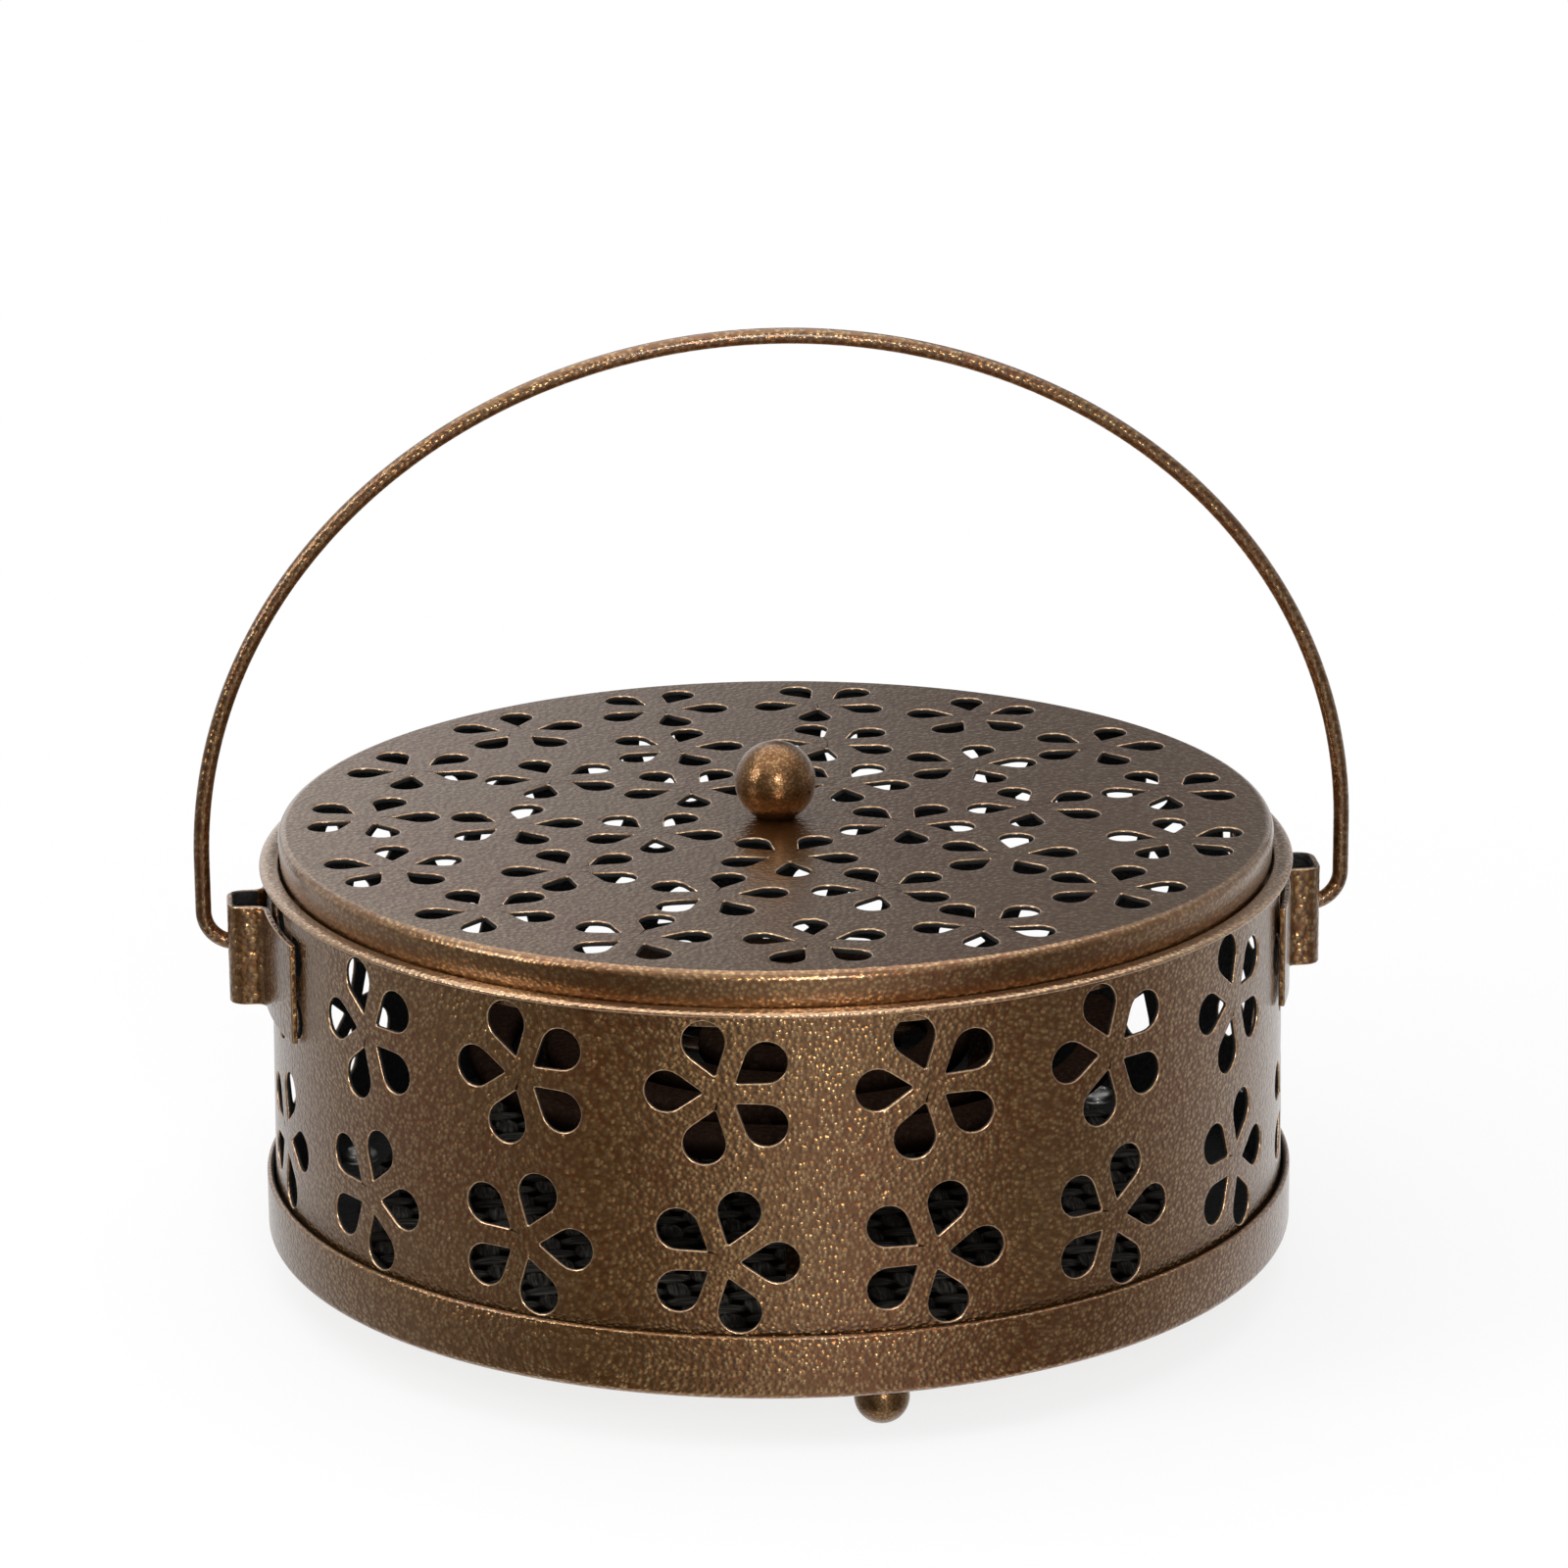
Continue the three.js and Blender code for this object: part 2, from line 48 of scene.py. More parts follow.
# Sizes and places of the solids, in millimetres; a petal is its start, end and width, from the flower's centre
FIT_GAP = 0.3
FOOT_HEIGHT = 7.0
TRAY_SHEET = 0.9
TRAY_FLOOR = FOOT_HEIGHT + TRAY_SHEET
TRAY_BAND = 9.3
TRAY_RADIUS = 75.2
TRAY_CORNER = 1.2
RIM_CROWN = 63.0
RIM_RADIUS = 75.0
RIM_WIDTH = 2.8
RIM_HEIGHT = 1.1
WALL_TOP_RADIUS = 73.3
WALL_FOOT_RADIUS = 74.0
WALL_MIDDLE_RADIUS = (WALL_TOP_RADIUS + WALL_FOOT_RADIUS) / 2
WALL_SHEET = 0.7
WALL_COLUMNS = 16
ROW_SPACING = 24.2
UPPER_ROW = RIM_CROWN - ROW_SPACING / 2
LOWER_ROW = UPPER_ROW - ROW_SPACING
WALL_PETAL = (2.5, 10.6, 5.9)
LID_HEIGHT, LID_DROP = 8.0, 2.7
LID_TOP = RIM_CROWN - RIM_HEIGHT / 2 - LID_DROP + LID_HEIGHT
LID_SKIRT_FOOT = LID_TOP - LID_HEIGHT
LID_SHEET = 0.8
LID_CORNER = 1.3
LID_THROAT = RIM_RADIUS - RIM_WIDTH - FIT_GAP
LID_DRAFT = math.tan(math.radians(4))
# Lid's rings of flowers: radius, the flowers' angles in the front fifth, and their own turn
LID_RINGS = ((59.0, (-114, -90, -66), 180), (38.2, (-108, -72), 180), (19.2, (-90,), 0))
LID_PETAL = (3.0, 10.2, 5.0)
SCREW_HOLE = 1.8
SCREW_HEAD = 2.8
KNOB_RADIUS, KNOB_SEAT_RADIUS = 5.9, 2.7
FOOT_PAD_RADIUS, FOOT_SEAT_RADIUS = 1.5, 1.9
FOOT_CIRCLE = 66.4
FIRST_FOOT_ANGLE = -83
PIVOT = 51.5
LUG_TOP, LUG_FOOT = 58.0, 43.2
LUG_FACE = 79.8
LUG_WIDTH = 8.6
LUG_SHEET = 0.9
LUG_CORNER = 2.4
LUG_ROOT = 2.0
LUG_FLANGE_HALF = 22.5
PIVOT_HOLE = 1.75
WIRE_RADIUS = 1.15
BAIL_TO_LUG = 3.4
BAIL_HALF_WIDTH = LUG_FACE + BAIL_TO_LUG
BAIL_BEND = 4.8
BAIL_END_TO_WALL = 1.4
ARCH_ABOVE_RIM = 1.0
ARCH_FOOT = RIM_CROWN + ARCH_ABOVE_RIM
ARCH_RISE = 75.0
STAND_TOP = 31.2
STAND_SHEET = 0.9
STAND_REACH, STAND_BEND, STAND_FOOT = 37.0, 2.2, 6.0
STAND_ARM_HALF, STAND_HUB_RADIUS = 2.5, 7.5
TONGUE_HALF, TONGUE_OVER = 1.8, 3.2
MAT_THICKNESS, MAT_RELIEF = 1.0, 0.62
MAT_TOP = TRAY_FLOOR + MAT_THICKNESS
MAT_RADIUS = 62.0
COIL_PITCH = 11.2
COIL_TURNS = 3.95
COIL_WIDTH, COIL_HEIGHT = 6.3, 4.4
COIL_HEAD_HALVES = (6.5, 4.2)


def wall_radius(z):
    """Outer radius of the slightly conical wall at a height; also takes a shader's Wire."""
    return (z - TRAY_FLOOR) * ((WALL_TOP_RADIUS - WALL_FOOT_RADIUS) / (RIM_CROWN - TRAY_FLOOR)) + WALL_FOOT_RADIUS


def skirt_radius(z):
    """Outer radius of the lid's drafted skirt at a height; also takes a shader's Wire."""
    return (z - (RIM_CROWN - RIM_HEIGHT / 2)) * LID_DRAFT + LID_THROAT


# Meshes

def linked(name, data):
    """A new object with the given mesh, lamp or camera, linked to the scene."""
    made = bpy.data.objects.new(name, data)
    bpy.context.scene.collection.objects.link(made)
    return made


def piece(name, points, faces, body, materials, smooth=True):
    """A mesh object from rows of points in millimetres and lists of faces, riding on its body."""
    mesh = bpy.data.meshes.new(name)
    mesh.from_pydata((np.asarray(points, float) * MM).tolist(), [], [list(face) for face in faces])
    mesh.validate()
    mesh.polygons.foreach_set("use_smooth", np.full(len(mesh.polygons), smooth))
    for material in materials if isinstance(materials, tuple) else (materials,):
        mesh.materials.append(material)
    made = linked(name, mesh)
    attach(made, body)
    return made


def merged(points, faces, within=1e-4):
    """Points closer than the given distance become one; faces that lose a corner are dropped."""
    keys = np.round(np.asarray(points) / within).astype(np.int64)
    _, first, back = np.unique(keys, axis=0, return_index=True, return_inverse=True)
    back = back.reshape(-1)
    kept = []
    for face in faces:
        corners = [int(back[i]) for i in face]
        short = [c for i, c in enumerate(corners) if c != corners[i - 1]]
        if len(short) > 2:
            kept.append(short)
    return np.asarray(points)[first], kept


def grid_faces(rows, columns, wrap_columns=False):
    """Quads of a grid of rows x columns points, numbered row by row; wrapped columns close on themselves."""
    i, j = np.meshgrid(np.arange(rows - 1), np.arange(columns - (not wrap_columns)), indexing="ij")
    right = (j + 1) % columns
    corners = [i * columns + j, i * columns + right, (i + 1) * columns + right, (i + 1) * columns + j]
    return np.stack(corners, -1).reshape(-1, 4)


def arc(centre, radius, start, end, steps):
    """Points centre + radius (cos, sin) from the start angle to the end angle, in degrees."""
    angle = np.radians(np.linspace(start, end, steps + 1))
    radius = np.broadcast_to(radius, 2)
    return np.stack([centre[0] + radius[0] * np.cos(angle), centre[1] + radius[1] * np.sin(angle)], -1)


def ring(centre, radius, count):
    """Points of a whole circle, without the first one again at the end."""
    return arc(centre, radius, 0, 360 - 360 / count, count - 1)


def ray(angle):
    """Unit vector of an angle in degrees."""
    return np.array([math.cos(math.radians(angle)), math.sin(math.radians(angle))])


def rotated(points, angle):
    """Flat points turned by an angle in degrees: (x cos a - y sin a, x sin a + y cos a)."""
    c, s = ray(angle)
    return points @ np.array([[c, s], [-s, c]])


def rectangle(u, v):
    """Closed outline of a rectangle, anticlockwise, with points at the given places along its width and height."""
    return np.vstack([
        np.stack([u[:-1], np.full(len(u) - 1, v[0])], -1), np.stack([np.full(len(v) - 1, u[-1]), v[:-1]], -1),
        np.stack([u[:0:-1], np.full(len(u) - 1, v[-1])], -1), np.stack([np.full(len(v) - 1, u[0]), v[:0:-1]], -1)])


def rounded(half_width, half_height, power, count):
    """Closed section of a rounded bar: x = a |cos t|^p, y = b |sin t|^p with the signs of cos t and sin t."""
    t = np.linspace(0, TAU, count, endpoint=False)
    x, y = np.cos(t), np.sin(t)
    return np.stack([half_width * np.sign(x) * np.abs(x) ** power, half_height * np.sign(y) * np.abs(y) ** power], -1)


def lathe(profile, around=192, centre=(0, 0)):
    """Profile of (radius, height) turned about a vertical axis: x = r cos a, y = r sin a, z = h.
    The profile runs with its outside on the right, so faces point outwards."""
    profile = np.asarray(profile, float)
    angle = np.linspace(0, TAU, around, endpoint=False)
    x = centre[0] + profile[:, None, 0] * np.cos(angle)
    y = centre[1] + profile[:, None, 0] * np.sin(angle)
    z = np.broadcast_to(profile[:, None, 1], x.shape)
    faces = grid_faces(len(profile), around, wrap_columns=True)
    return merged(np.stack([x, y, z], -1).reshape(-1, 3), faces.tolist())


def tube(path, section, up, round_ends=0):
    """Section points (side, up) carried along a path: point + side * s + up * u, where side = tangent x up.
    round_ends adds rings that shrink along a quarter circle, so the ends close as domes."""
    path = np.asarray(path, float)
    tangent = np.gradient(path, axis=0)
    tangent /= np.linalg.norm(tangent, axis=1, keepdims=True)
    side = np.cross(tangent, up)
    side /= np.linalg.norm(side, axis=1, keepdims=True)
    scale = np.ones(len(path))
    if round_ends:
        reach = np.abs(section).max()
        bow = np.radians(np.linspace(90, 0, round_ends, endpoint=False))
        first = path[0] - tangent[0] * reach * np.sin(bow)[:, None]
        last = path[-1] + tangent[-1] * reach * np.sin(bow[::-1])[:, None]
        path = np.vstack([first, path, last])
        side = np.vstack([np.repeat(side[:1], round_ends, 0), side, np.repeat(side[-1:], round_ends, 0)])
        scale = np.concatenate([np.cos(bow), scale, np.cos(bow[::-1])])
    s, u = np.asarray(section, float).T
    points = path[:, None] + scale[:, None, None] * (side[:, None] * s[:, None] + np.asarray(up, float) * u[:, None])
    rings, around = points.shape[:2]
    faces = grid_faces(rings, around, wrap_columns=True)[:, ::-1].tolist()
    if not round_ends:
        faces += [list(range(around)), list(range((rings - 1) * around, rings * around))[::-1]]
    return merged(points.reshape(-1, 3), faces)


# Pierced sheet

def petal(start, end, width, turn, steps=16, tip=0.16):
    """Outline of a teardrop: a small round tip at the start and two straight tangents to a round end."""
    radius = width / 2
    middle = end - radius
    tangent = 180 - math.degrees(math.acos(radius / (middle - start)))
    tip_middle, tip_bow = start + 1.75 * tip, 62
    outline = np.vstack([
        arc((tip_middle, 0), tip, 180 - tip_bow, 180 + tip_bow, 3),
        arc((middle, 0), radius, -tangent, tangent, steps)])
    return rotated(outline, turn)


def flower(centre, shape, turn):
    """Five petals of one shape about a centre, a fifth of a turn apart."""
    return [np.asarray(centre) + petal(*shape, turn + 72 * k) for k in range(5)]


def inside(points, outline):
    """True for points inside a closed outline, by counting crossings to the right."""
    a, b = outline, np.roll(outline, -1, 0)
    x, y = points[:, None, 0], points[:, None, 1]
    spans = (a[:, 1] > y) != (b[:, 1] > y)
    with np.errstate(divide="ignore", invalid="ignore"):
        crossing = a[:, 0] + (y - a[:, 1]) * (b[:, 0] - a[:, 0]) / (b[:, 1] - a[:, 1])
    return (spans & (crossing > x)).sum(1) % 2 == 1


def near(points, outline, distance):
    """True for points closer to a closed outline's edges than the distance."""
    a = outline
    d = np.roll(outline, -1, 0) - a
    t = np.clip(((points[:, None] - a) * d).sum(-1) / (d * d).sum(-1), 0, 1)
    return np.linalg.norm(points[:, None] - a - t[..., None] * d, axis=-1).min(1) < distance


def pierced(border, holes, spacing):
    """Triangles of a flat sheet with holes: border, holes and a triangular grid of inner points, by Delaunay."""
    row_share, border_share, hole_share = 0.866, 0.6, 0.45
    low, high = border.min(0), border.max(0)
    rows = int((high[1] - low[1]) / (spacing * row_share))
    y = np.linspace(low[1], high[1], rows + 1)[1:-1]
    x = np.arange(low[0], high[0], spacing)
    grid = np.stack(np.meshgrid(x, y), -1)
    grid[1::2, :, 0] += spacing / 2
    grid = grid.reshape(-1, 2)
    grid = grid[inside(grid, border) & ~near(grid, border, spacing * border_share)]
    for hole in holes:
        grid = grid[~inside(grid, hole) & ~near(grid, hole, spacing * hole_share)]
    edges, start = [], 0
    for loop in (border, *holes):
        index = start + np.arange(len(loop))
        edges += np.stack([index, np.roll(index, -1)], -1).tolist()
        start += len(loop)
    points = np.vstack([border, *holes, grid])
    made = delaunay_2d_cdt([Vector(p) for p in points.tolist()], edges, [], 1, 1e-5)
    points = np.array([tuple(p) for p in made[0]])
    faces = np.array(made[2])
    middle = points[faces].mean(1)
    keep = inside(middle, border)
    for hole in holes:
        keep &= ~inside(middle, hole)
    return points, faces[keep]


def walled(made, thickness, edge, offset=-1):
    """Gives an open sheet its thickness and eases the edges of its cuts, which take the second material."""
    solid = made.modifiers.new("sheet", "SOLIDIFY")
    solid.thickness = thickness * MM
    solid.offset = offset
    solid.use_even_offset = True
    eased(made, edge, material=1)


def eased(made, edge, material=-1):
    """Rounds the sharp edges by the given width in millimetres and keeps the flat faces' shading flat."""
    bevel = made.modifiers.new("eased_edges", "BEVEL")
    bevel.width = edge * MM
    bevel.segments = 2
    bevel.limit_method = "ANGLE"
    bevel.angle_limit = math.radians(38)
    bevel.use_clamp_overlap = False
    bevel.miter_outer = "MITER_ARC"
    bevel.material = material
    weighted = made.modifiers.new("face_normals", "WEIGHTED_NORMAL")
    weighted.keep_sharp = True


# Shading

class Wire:
    """A node's output; an expression on it adds the Math nodes."""

    def __init__(self, graph, output):
        self.graph, self.output = graph, output

    def _math(self, operation, *values):
        return self.graph.node("ShaderNodeMath", {"operation": operation}, dict(enumerate(values)))

    def __add__(self, other):
        return self._math("ADD", self, other)

    def __radd__(self, other):
        return self._math("ADD", other, self)

    def __sub__(self, other):
        return self._math("SUBTRACT", self, other)

    def __rsub__(self, other):
        return self._math("SUBTRACT", other, self)

    def __mul__(self, other):
        return self._math("MULTIPLY", self, other)

    def __rmul__(self, other):
        return self._math("MULTIPLY", other, self)

    def __truediv__(self, other):
        return self._math("DIVIDE", self, other)

    def __rtruediv__(self, other):
        return self._math("DIVIDE", other, self)

    def __neg__(self):
        return self._math("MULTIPLY", self, -1)

    def above(self, low, high):
        """Smooth step: 0 below low, 1 above high."""
        return self.graph.node("ShaderNodeMapRange", {"interpolation_type": "SMOOTHSTEP"},
                               {"Value": self, "From Min": low, "From Max": high})

    def highest(self, other):
        return self._math("MAXIMUM", self, other)


class Graph:
    """A node tree with the few calls that the shaders here need."""

    def __init__(self, tree):
        self.tree = tree

    def node(self, kind, settings, inputs, output=0):
        """Adds a node: its settings first, then the values or links of its sockets; returns one output."""
        made = self.tree.nodes.new(kind)
        for key, value in settings.items():
            if key == "stops":
                ramp = made.color_ramp
                while len(ramp.elements) < len(value):
                    ramp.elements.new(1)
                for stop, (at, colour) in zip(ramp.elements, value):
                    stop.position, stop.color = at, (*colour, 1)
            else:
                setattr(made, key, value)
        for key, value in inputs.items():
            self.feed(made.inputs[key], value)
        return Wire(self, made.outputs[output])

    def feed(self, socket, value):
        """Links an output to a socket, or writes a plain value or colour on it."""
        if isinstance(value, Wire):
            self.tree.links.new(value.output, socket)
        elif isinstance(value, tuple) and len(value) == 3 and socket.type == "RGBA":
            socket.default_value = (*value, 1)
        else:
            socket.default_value = value

    def ramp(self, factor, *stops):
        return self.node("ShaderNodeValToRGB", {"stops": stops}, {0: factor})

    def mix(self, factor, a, b):
        return self.node("ShaderNodeMix", {"data_type": "RGBA"}, {0: factor, 6: a, 7: b}, 2)

    def axis(self, vector, letter):
        return self.node("ShaderNodeSeparateXYZ", {}, {0: vector}, letter)

    def seen_by(self, ray_kind):
        return self.node("ShaderNodeLightPath", {}, {}, ray_kind)


class Material(Graph):
    """A node material with one Principled shader, its place in millimetres and its sockets at hand."""

    def __init__(self, name):
        self.made = bpy.data.materials.new(name)
        self.made.use_nodes = True
        super().__init__(self.made.node_tree)
        self.shader = self.tree.nodes["Principled BSDF"]
        self.place = self.scaled(self.node("ShaderNodeTexCoord", {}, {}, "Object"), (1000, 1000, 1000))

    def set(self, **inputs):
        """Values or links of the shader's sockets, written with _ for a space."""
        for key, value in inputs.items():
            self.feed(self.shader.inputs[key.replace("_", " ")], value)

    def scaled(self, vector, factors):
        return self.node("ShaderNodeVectorMath", {"operation": "MULTIPLY"}, {0: vector, 1: factors})

    def noise(self, size, detail=2.0, rough=0.5, stretch=(1, 1, 1)):
        """Noise whose features are about the given size in millimetres, stretched along axes."""
        return self.node("ShaderNodeTexNoise", {}, {
            "Vector": self.scaled(self.place, tuple(s / size for s in stretch)), "Scale": 1.0, "Detail": detail,
            "Roughness": rough})

    def pebbles(self, size):
        """Rounded bumps about the given size in millimetres apart: nearly 1 on their crowns, low in the creases."""
        return 1 - self.node("ShaderNodeTexVoronoi", {}, {
            "Vector": self.scaled(self.place, (1 / size, 1 / size, 1.25 / size)), "Scale": 1.0}, "Distance")

    def attribute(self, name):
        return self.node("ShaderNodeAttribute", {"attribute_name": name}, {}, "Fac")

    def height(self):
        return self.axis(self.place, "Z")

    def radius(self):
        """Distance from the holder's axis, in millimetres."""
        flat = self.scaled(self.place, (1, 1, 0))
        return self.node("ShaderNodeVectorMath", {"operation": "LENGTH"}, {0: flat}, "Value")

    def bump(self, height, millimetres):
        """Relief of the given depth in millimetres from a height between 0 and 1."""
        self.set(Normal=self.node("ShaderNodeBump", {}, {
            "Height": height, "Distance": millimetres * MM, "Strength": 1.0}))


# Near black of the painted shade inside the holder, in the cuts and inside the lugs' loops
PAINTED_SHADE_COLOUR = (0.0024, 0.0018, 0.0013)
BRONZE_BROWN, BRONZE_RED, BRONZE_GOLD = (0.160, 0.070, 0.016), (0.155, 0.054, 0.010), (0.34, 0.205, 0.088)
# Pale colour of edge wear, also used as a painted highlight on cut edges and the rim
WEAR_AND_HIGHLIGHT_BRONZE = (0.76, 0.62, 0.46)


def behind_wall(m):
    """Deeper than the wall's outer face, so also in the thickness of its cuts: the place of the wall's painted shade.
    """
    return (wall_radius(m.height()) - m.radius()).above(0.18, 0.36)


def in_tray(m):
    """Inside the band, from the floor up: the place of the tray's painted shade."""
    return (TRAY_RADIUS - 0.45 - m.radius()).above(0.0, 0.2) * (m.height() - TRAY_FLOOR).above(-0.4, -0.2)


def under_lid(m):
    """Below the top sheet and inside the skirt, and higher up in the cuts of the flat top: the lid's painted shade.
    """
    down, inwards = LID_TOP - m.height(), skirt_radius(m.height()) - m.radius()
    beneath = down.above(0.3, 0.5) * inwards.above(0.3, 0.5)
    in_cuts = down.above(0.1, 0.3) * inwards.above(1.5, 1.8)
    return beneath.highest(in_cuts)


def in_loop(m):
    """Inside the strap's loop, short of its face and between its sides: the place of the lug's painted shade."""
    x, y = m.axis(m.place, "X"), m.axis(m.place, "Y")
    inner_face, inner_side = LUG_FACE - LUG_SHEET, LUG_WIDTH / 2 - LUG_SHEET
    return (inner_face + 0.3 - x.highest(-x)).above(0, 0.2) * (inner_side + 0.3 - y.highest(-y)).above(0, 0.2)


def antique_bronze(name, grain=0.75, shade=1.0, roughness=0.22, relief=0.23, wear_and_highlight=0.0, gloss=0.8, shaded_where=None):
    """Antique bronze coat: fine pebbles, golden on their crowns, partly as a painted glint, and deep reddish brown in
    their creases, under a smooth gloss, with a slow cloud, paler with wear and as a painted highlight where asked,
    and near black with painted shade where the given function of the place says 1."""
    m = Material(name)
    pebble = m.pebbles(grain) * 0.75 + m.noise(grain * 1.2, detail=1) * 0.5
    crown = pebble.above(0.50, 0.95)
    cloud = m.noise(26, detail=2).above(0.36, 0.66)
    brown, red, gold = (tuple(part * shade for part in tone) for tone in (BRONZE_BROWN, BRONZE_RED, BRONZE_GOLD))
    # Gold on the pebbles' crowns: the coat's own two tones, and partly a painted glint
    colour = m.mix(crown, m.mix(cloud, brown, red), gold)
    metal, coat, grit = crown * 0.1 + 0.85, gloss, roughness - crown * 0.05
    # Paler colour: partly wear, partly a painted highlight
    if wear_and_highlight:
        colour = m.mix(wear_and_highlight, colour, WEAR_AND_HIGHLIGHT_BRONZE)
    # Painted shade: near black, without metal or coat, where the place function says 1
    if shaded_where:
        soot_and_shade = shaded_where(m)
        unshaded = 1 - soot_and_shade
        colour, metal = m.mix(soot_and_shade, colour, PAINTED_SHADE_COLOUR), metal * unshaded
        coat, grit = unshaded * gloss, grit + soot_and_shade * 0.6
    m.set(Base_Color=colour, Metallic=metal, Roughness=grit, Coat_Weight=coat, Coat_Roughness=0.2)
    m.bump(pebble, relief)
    return m.made


def zinc_plate():
    """Bright zinc with faint cloudy spangle and a fine grain."""
    m = Material("zinc_plate")
    cloud = m.noise(1.6, detail=3)
    m.set(Base_Color=m.ramp(cloud, (0.3, (0.38, 0.38, 0.37)), (0.7, (0.62, 0.61, 0.58))),
          Metallic=1.0, Roughness=cloud * 0.2 + 0.24)
    m.bump(m.noise(0.25), 0.02)
    return m.made


def pressed_dust():
    """Coil of pressed wood and herb dust: matt dark brown with paler chaff and small pits, and painted shade that
    darkens it down its sides.
    """
    m = Material("pressed_coil_dust")
    dust = m.noise(0.7, detail=4, rough=0.6)
    chaff = m.noise(0.5, detail=1, stretch=(1.0, 1.0, 0.35)).above(0.62, 0.72)
    ground = m.ramp(dust, (0.3, (0.024, 0.012, 0.008)), (0.55, (0.040, 0.022, 0.015)), (0.8, (0.062, 0.037, 0.026)))
    skin = m.mix(chaff * 0.3, ground, (0.13, 0.08, 0.055))
    # Painted shade: below the strand's upper part its sides turn nearly black
    top = (m.height() - STAND_TOP).above(0.3 * COIL_HEIGHT, 0.95 * COIL_HEIGHT)
    m.set(Base_Color=m.mix(top, (0.006, 0.003, 0.002), skin), Metallic=0.0, Roughness=0.92,
          Specular_IOR_Level=0.0)
    m.bump(dust * 0.7 + m.noise(0.25) * 0.3, 0.1)
    return m.made


def glass_cloth():
    """Grey glass-fibre tows: fine streaks along each tow, smoke-black patches, and painted shade that turns the tows
    nearly black where they dip low into the gaps.
    """
    m = Material("glass_fibre_cloth")
    warp_streak = m.noise(0.4, detail=3, stretch=(1.0, 0.07, 1.0))
    weft_streak = m.noise(0.4, detail=3, stretch=(0.07, 1.0, 1.0))
    streak = warp_streak + (weft_streak - warp_streak) * m.attribute("tow").above(0.45, 0.55)
    thread = m.ramp(streak, (0.3, (0.026, 0.023, 0.020)), (0.5, (0.070, 0.063, 0.055)), (0.72, (0.18, 0.165, 0.145)))
    soot_and_shade = m.noise(12, detail=3).above(0.40, 0.70)
    tow = m.mix(soot_and_shade * 0.85, thread, (0.012, 0.010, 0.008))
    # Painted shade: the low parts of the tows, where they dip into the gaps, go nearly black
    m.set(Base_Color=m.mix(m.attribute("lift").above(0.25, 0.62), (0.002, 0.0016, 0.0012), tow), Roughness=0.7,
          Metallic=0.0, Specular_IOR_Level=0.0)
    m.bump(streak, 0.12)
    return m.made


wall_bronze = antique_bronze("bronze_wall", shaded_where=behind_wall)
# Lighter copy for the wall's cut edges: a painted highlight, with some wear
wall_edge = antique_bronze("bronze_wall_edge", shade=1.4, relief=0.01, wear_and_highlight=0.2, shaded_where=behind_wall)
tray_bronze = antique_bronze("bronze_tray", shaded_where=in_tray)
lid_bronze = antique_bronze("bronze_lid", relief=0.1, shaded_where=under_lid)
# Lighter copy for the lid's cut edges: a painted highlight, with some wear
lid_edge = antique_bronze("bronze_lid_edge", shade=1.2, relief=0.01, wear_and_highlight=0.2, shaded_where=under_lid)
# The rim is lighter and paler all round: a painted highlight along its crown
rim_bronze = antique_bronze("bronze_rim", shade=1.4, roughness=0.17, relief=0.14, wear_and_highlight=0.15)
lug_bronze = antique_bronze("bronze_lug", grain=1.1, relief=0.36, shaded_where=in_loop)
# Lighter copy for the lug's cut edges: a painted highlight, with some wear
lug_edge = antique_bronze("bronze_lug_edge", shade=1.2, relief=0.01, wear_and_highlight=0.15, shaded_where=in_loop)
wire_bronze = antique_bronze("bronze_wire", grain=0.85, shade=0.8, relief=0.2)
ball_bronze = antique_bronze("bronze_ball", grain=0.45, shade=0.72, roughness=0.25, relief=0.04, gloss=0.3)
stand_bronze = antique_bronze("bronze_stand", shade=0.35, roughness=0.5)
zinc = zinc_plate()
dust = pressed_dust()
cloth = glass_cloth()


# Wall and rim

def build_wall():
    """One column of the wall is cut flat, with u along the arc and v upwards, and rolled sixteen times:
    x = R(v) cos a, y = R(v) sin a, z = v, where a = column + u / R."""
    low, high = TRAY_FLOOR, RIM_CROWN - 0.7 * RIM_HEIGHT
    pitch = TAU / WALL_COLUMNS
    half = WALL_MIDDLE_RADIUS * pitch / 2
    border = rectangle(np.linspace(-half, half, 17), np.linspace(low, high, 28))
    holes = flower((0, UPPER_ROW), WALL_PETAL, 180) + flower((0, LOWER_ROW), WALL_PETAL, 0)
    flat, triangles = pierced(border, holes, 1.9)
    points, faces = [], []
    for column in range(WALL_COLUMNS):
        angle = -np.pi / 2 + (column + 0.5) * pitch + flat[:, 0] / WALL_MIDDLE_RADIUS
        radius = wall_radius(flat[:, 1])
        points.append(np.stack([radius * np.cos(angle), radius * np.sin(angle), flat[:, 1]], -1))
        faces += (triangles + column * len(flat)).tolist()
    wall = piece("pierced_wall", *merged(np.vstack(points), faces, 2e-3), "base", (wall_bronze, wall_edge))
    walled(wall, WALL_SHEET, 0.2)
    return wall


def build_rim():
    """Rolled rim: a flattened round section, turned about Z."""
    middle = (RIM_RADIUS - RIM_WIDTH / 2, RIM_CROWN - RIM_HEIGHT / 2)
    section = rounded(RIM_WIDTH / 2, RIM_HEIGHT / 2, 0.95, 40) + middle
    rim = piece("rolled_rim", *lathe(np.vstack([section, section[:1]]), 256), "base", rim_bronze)


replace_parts(build_wall(), "perforated_wall")
build_rim()


# Tray

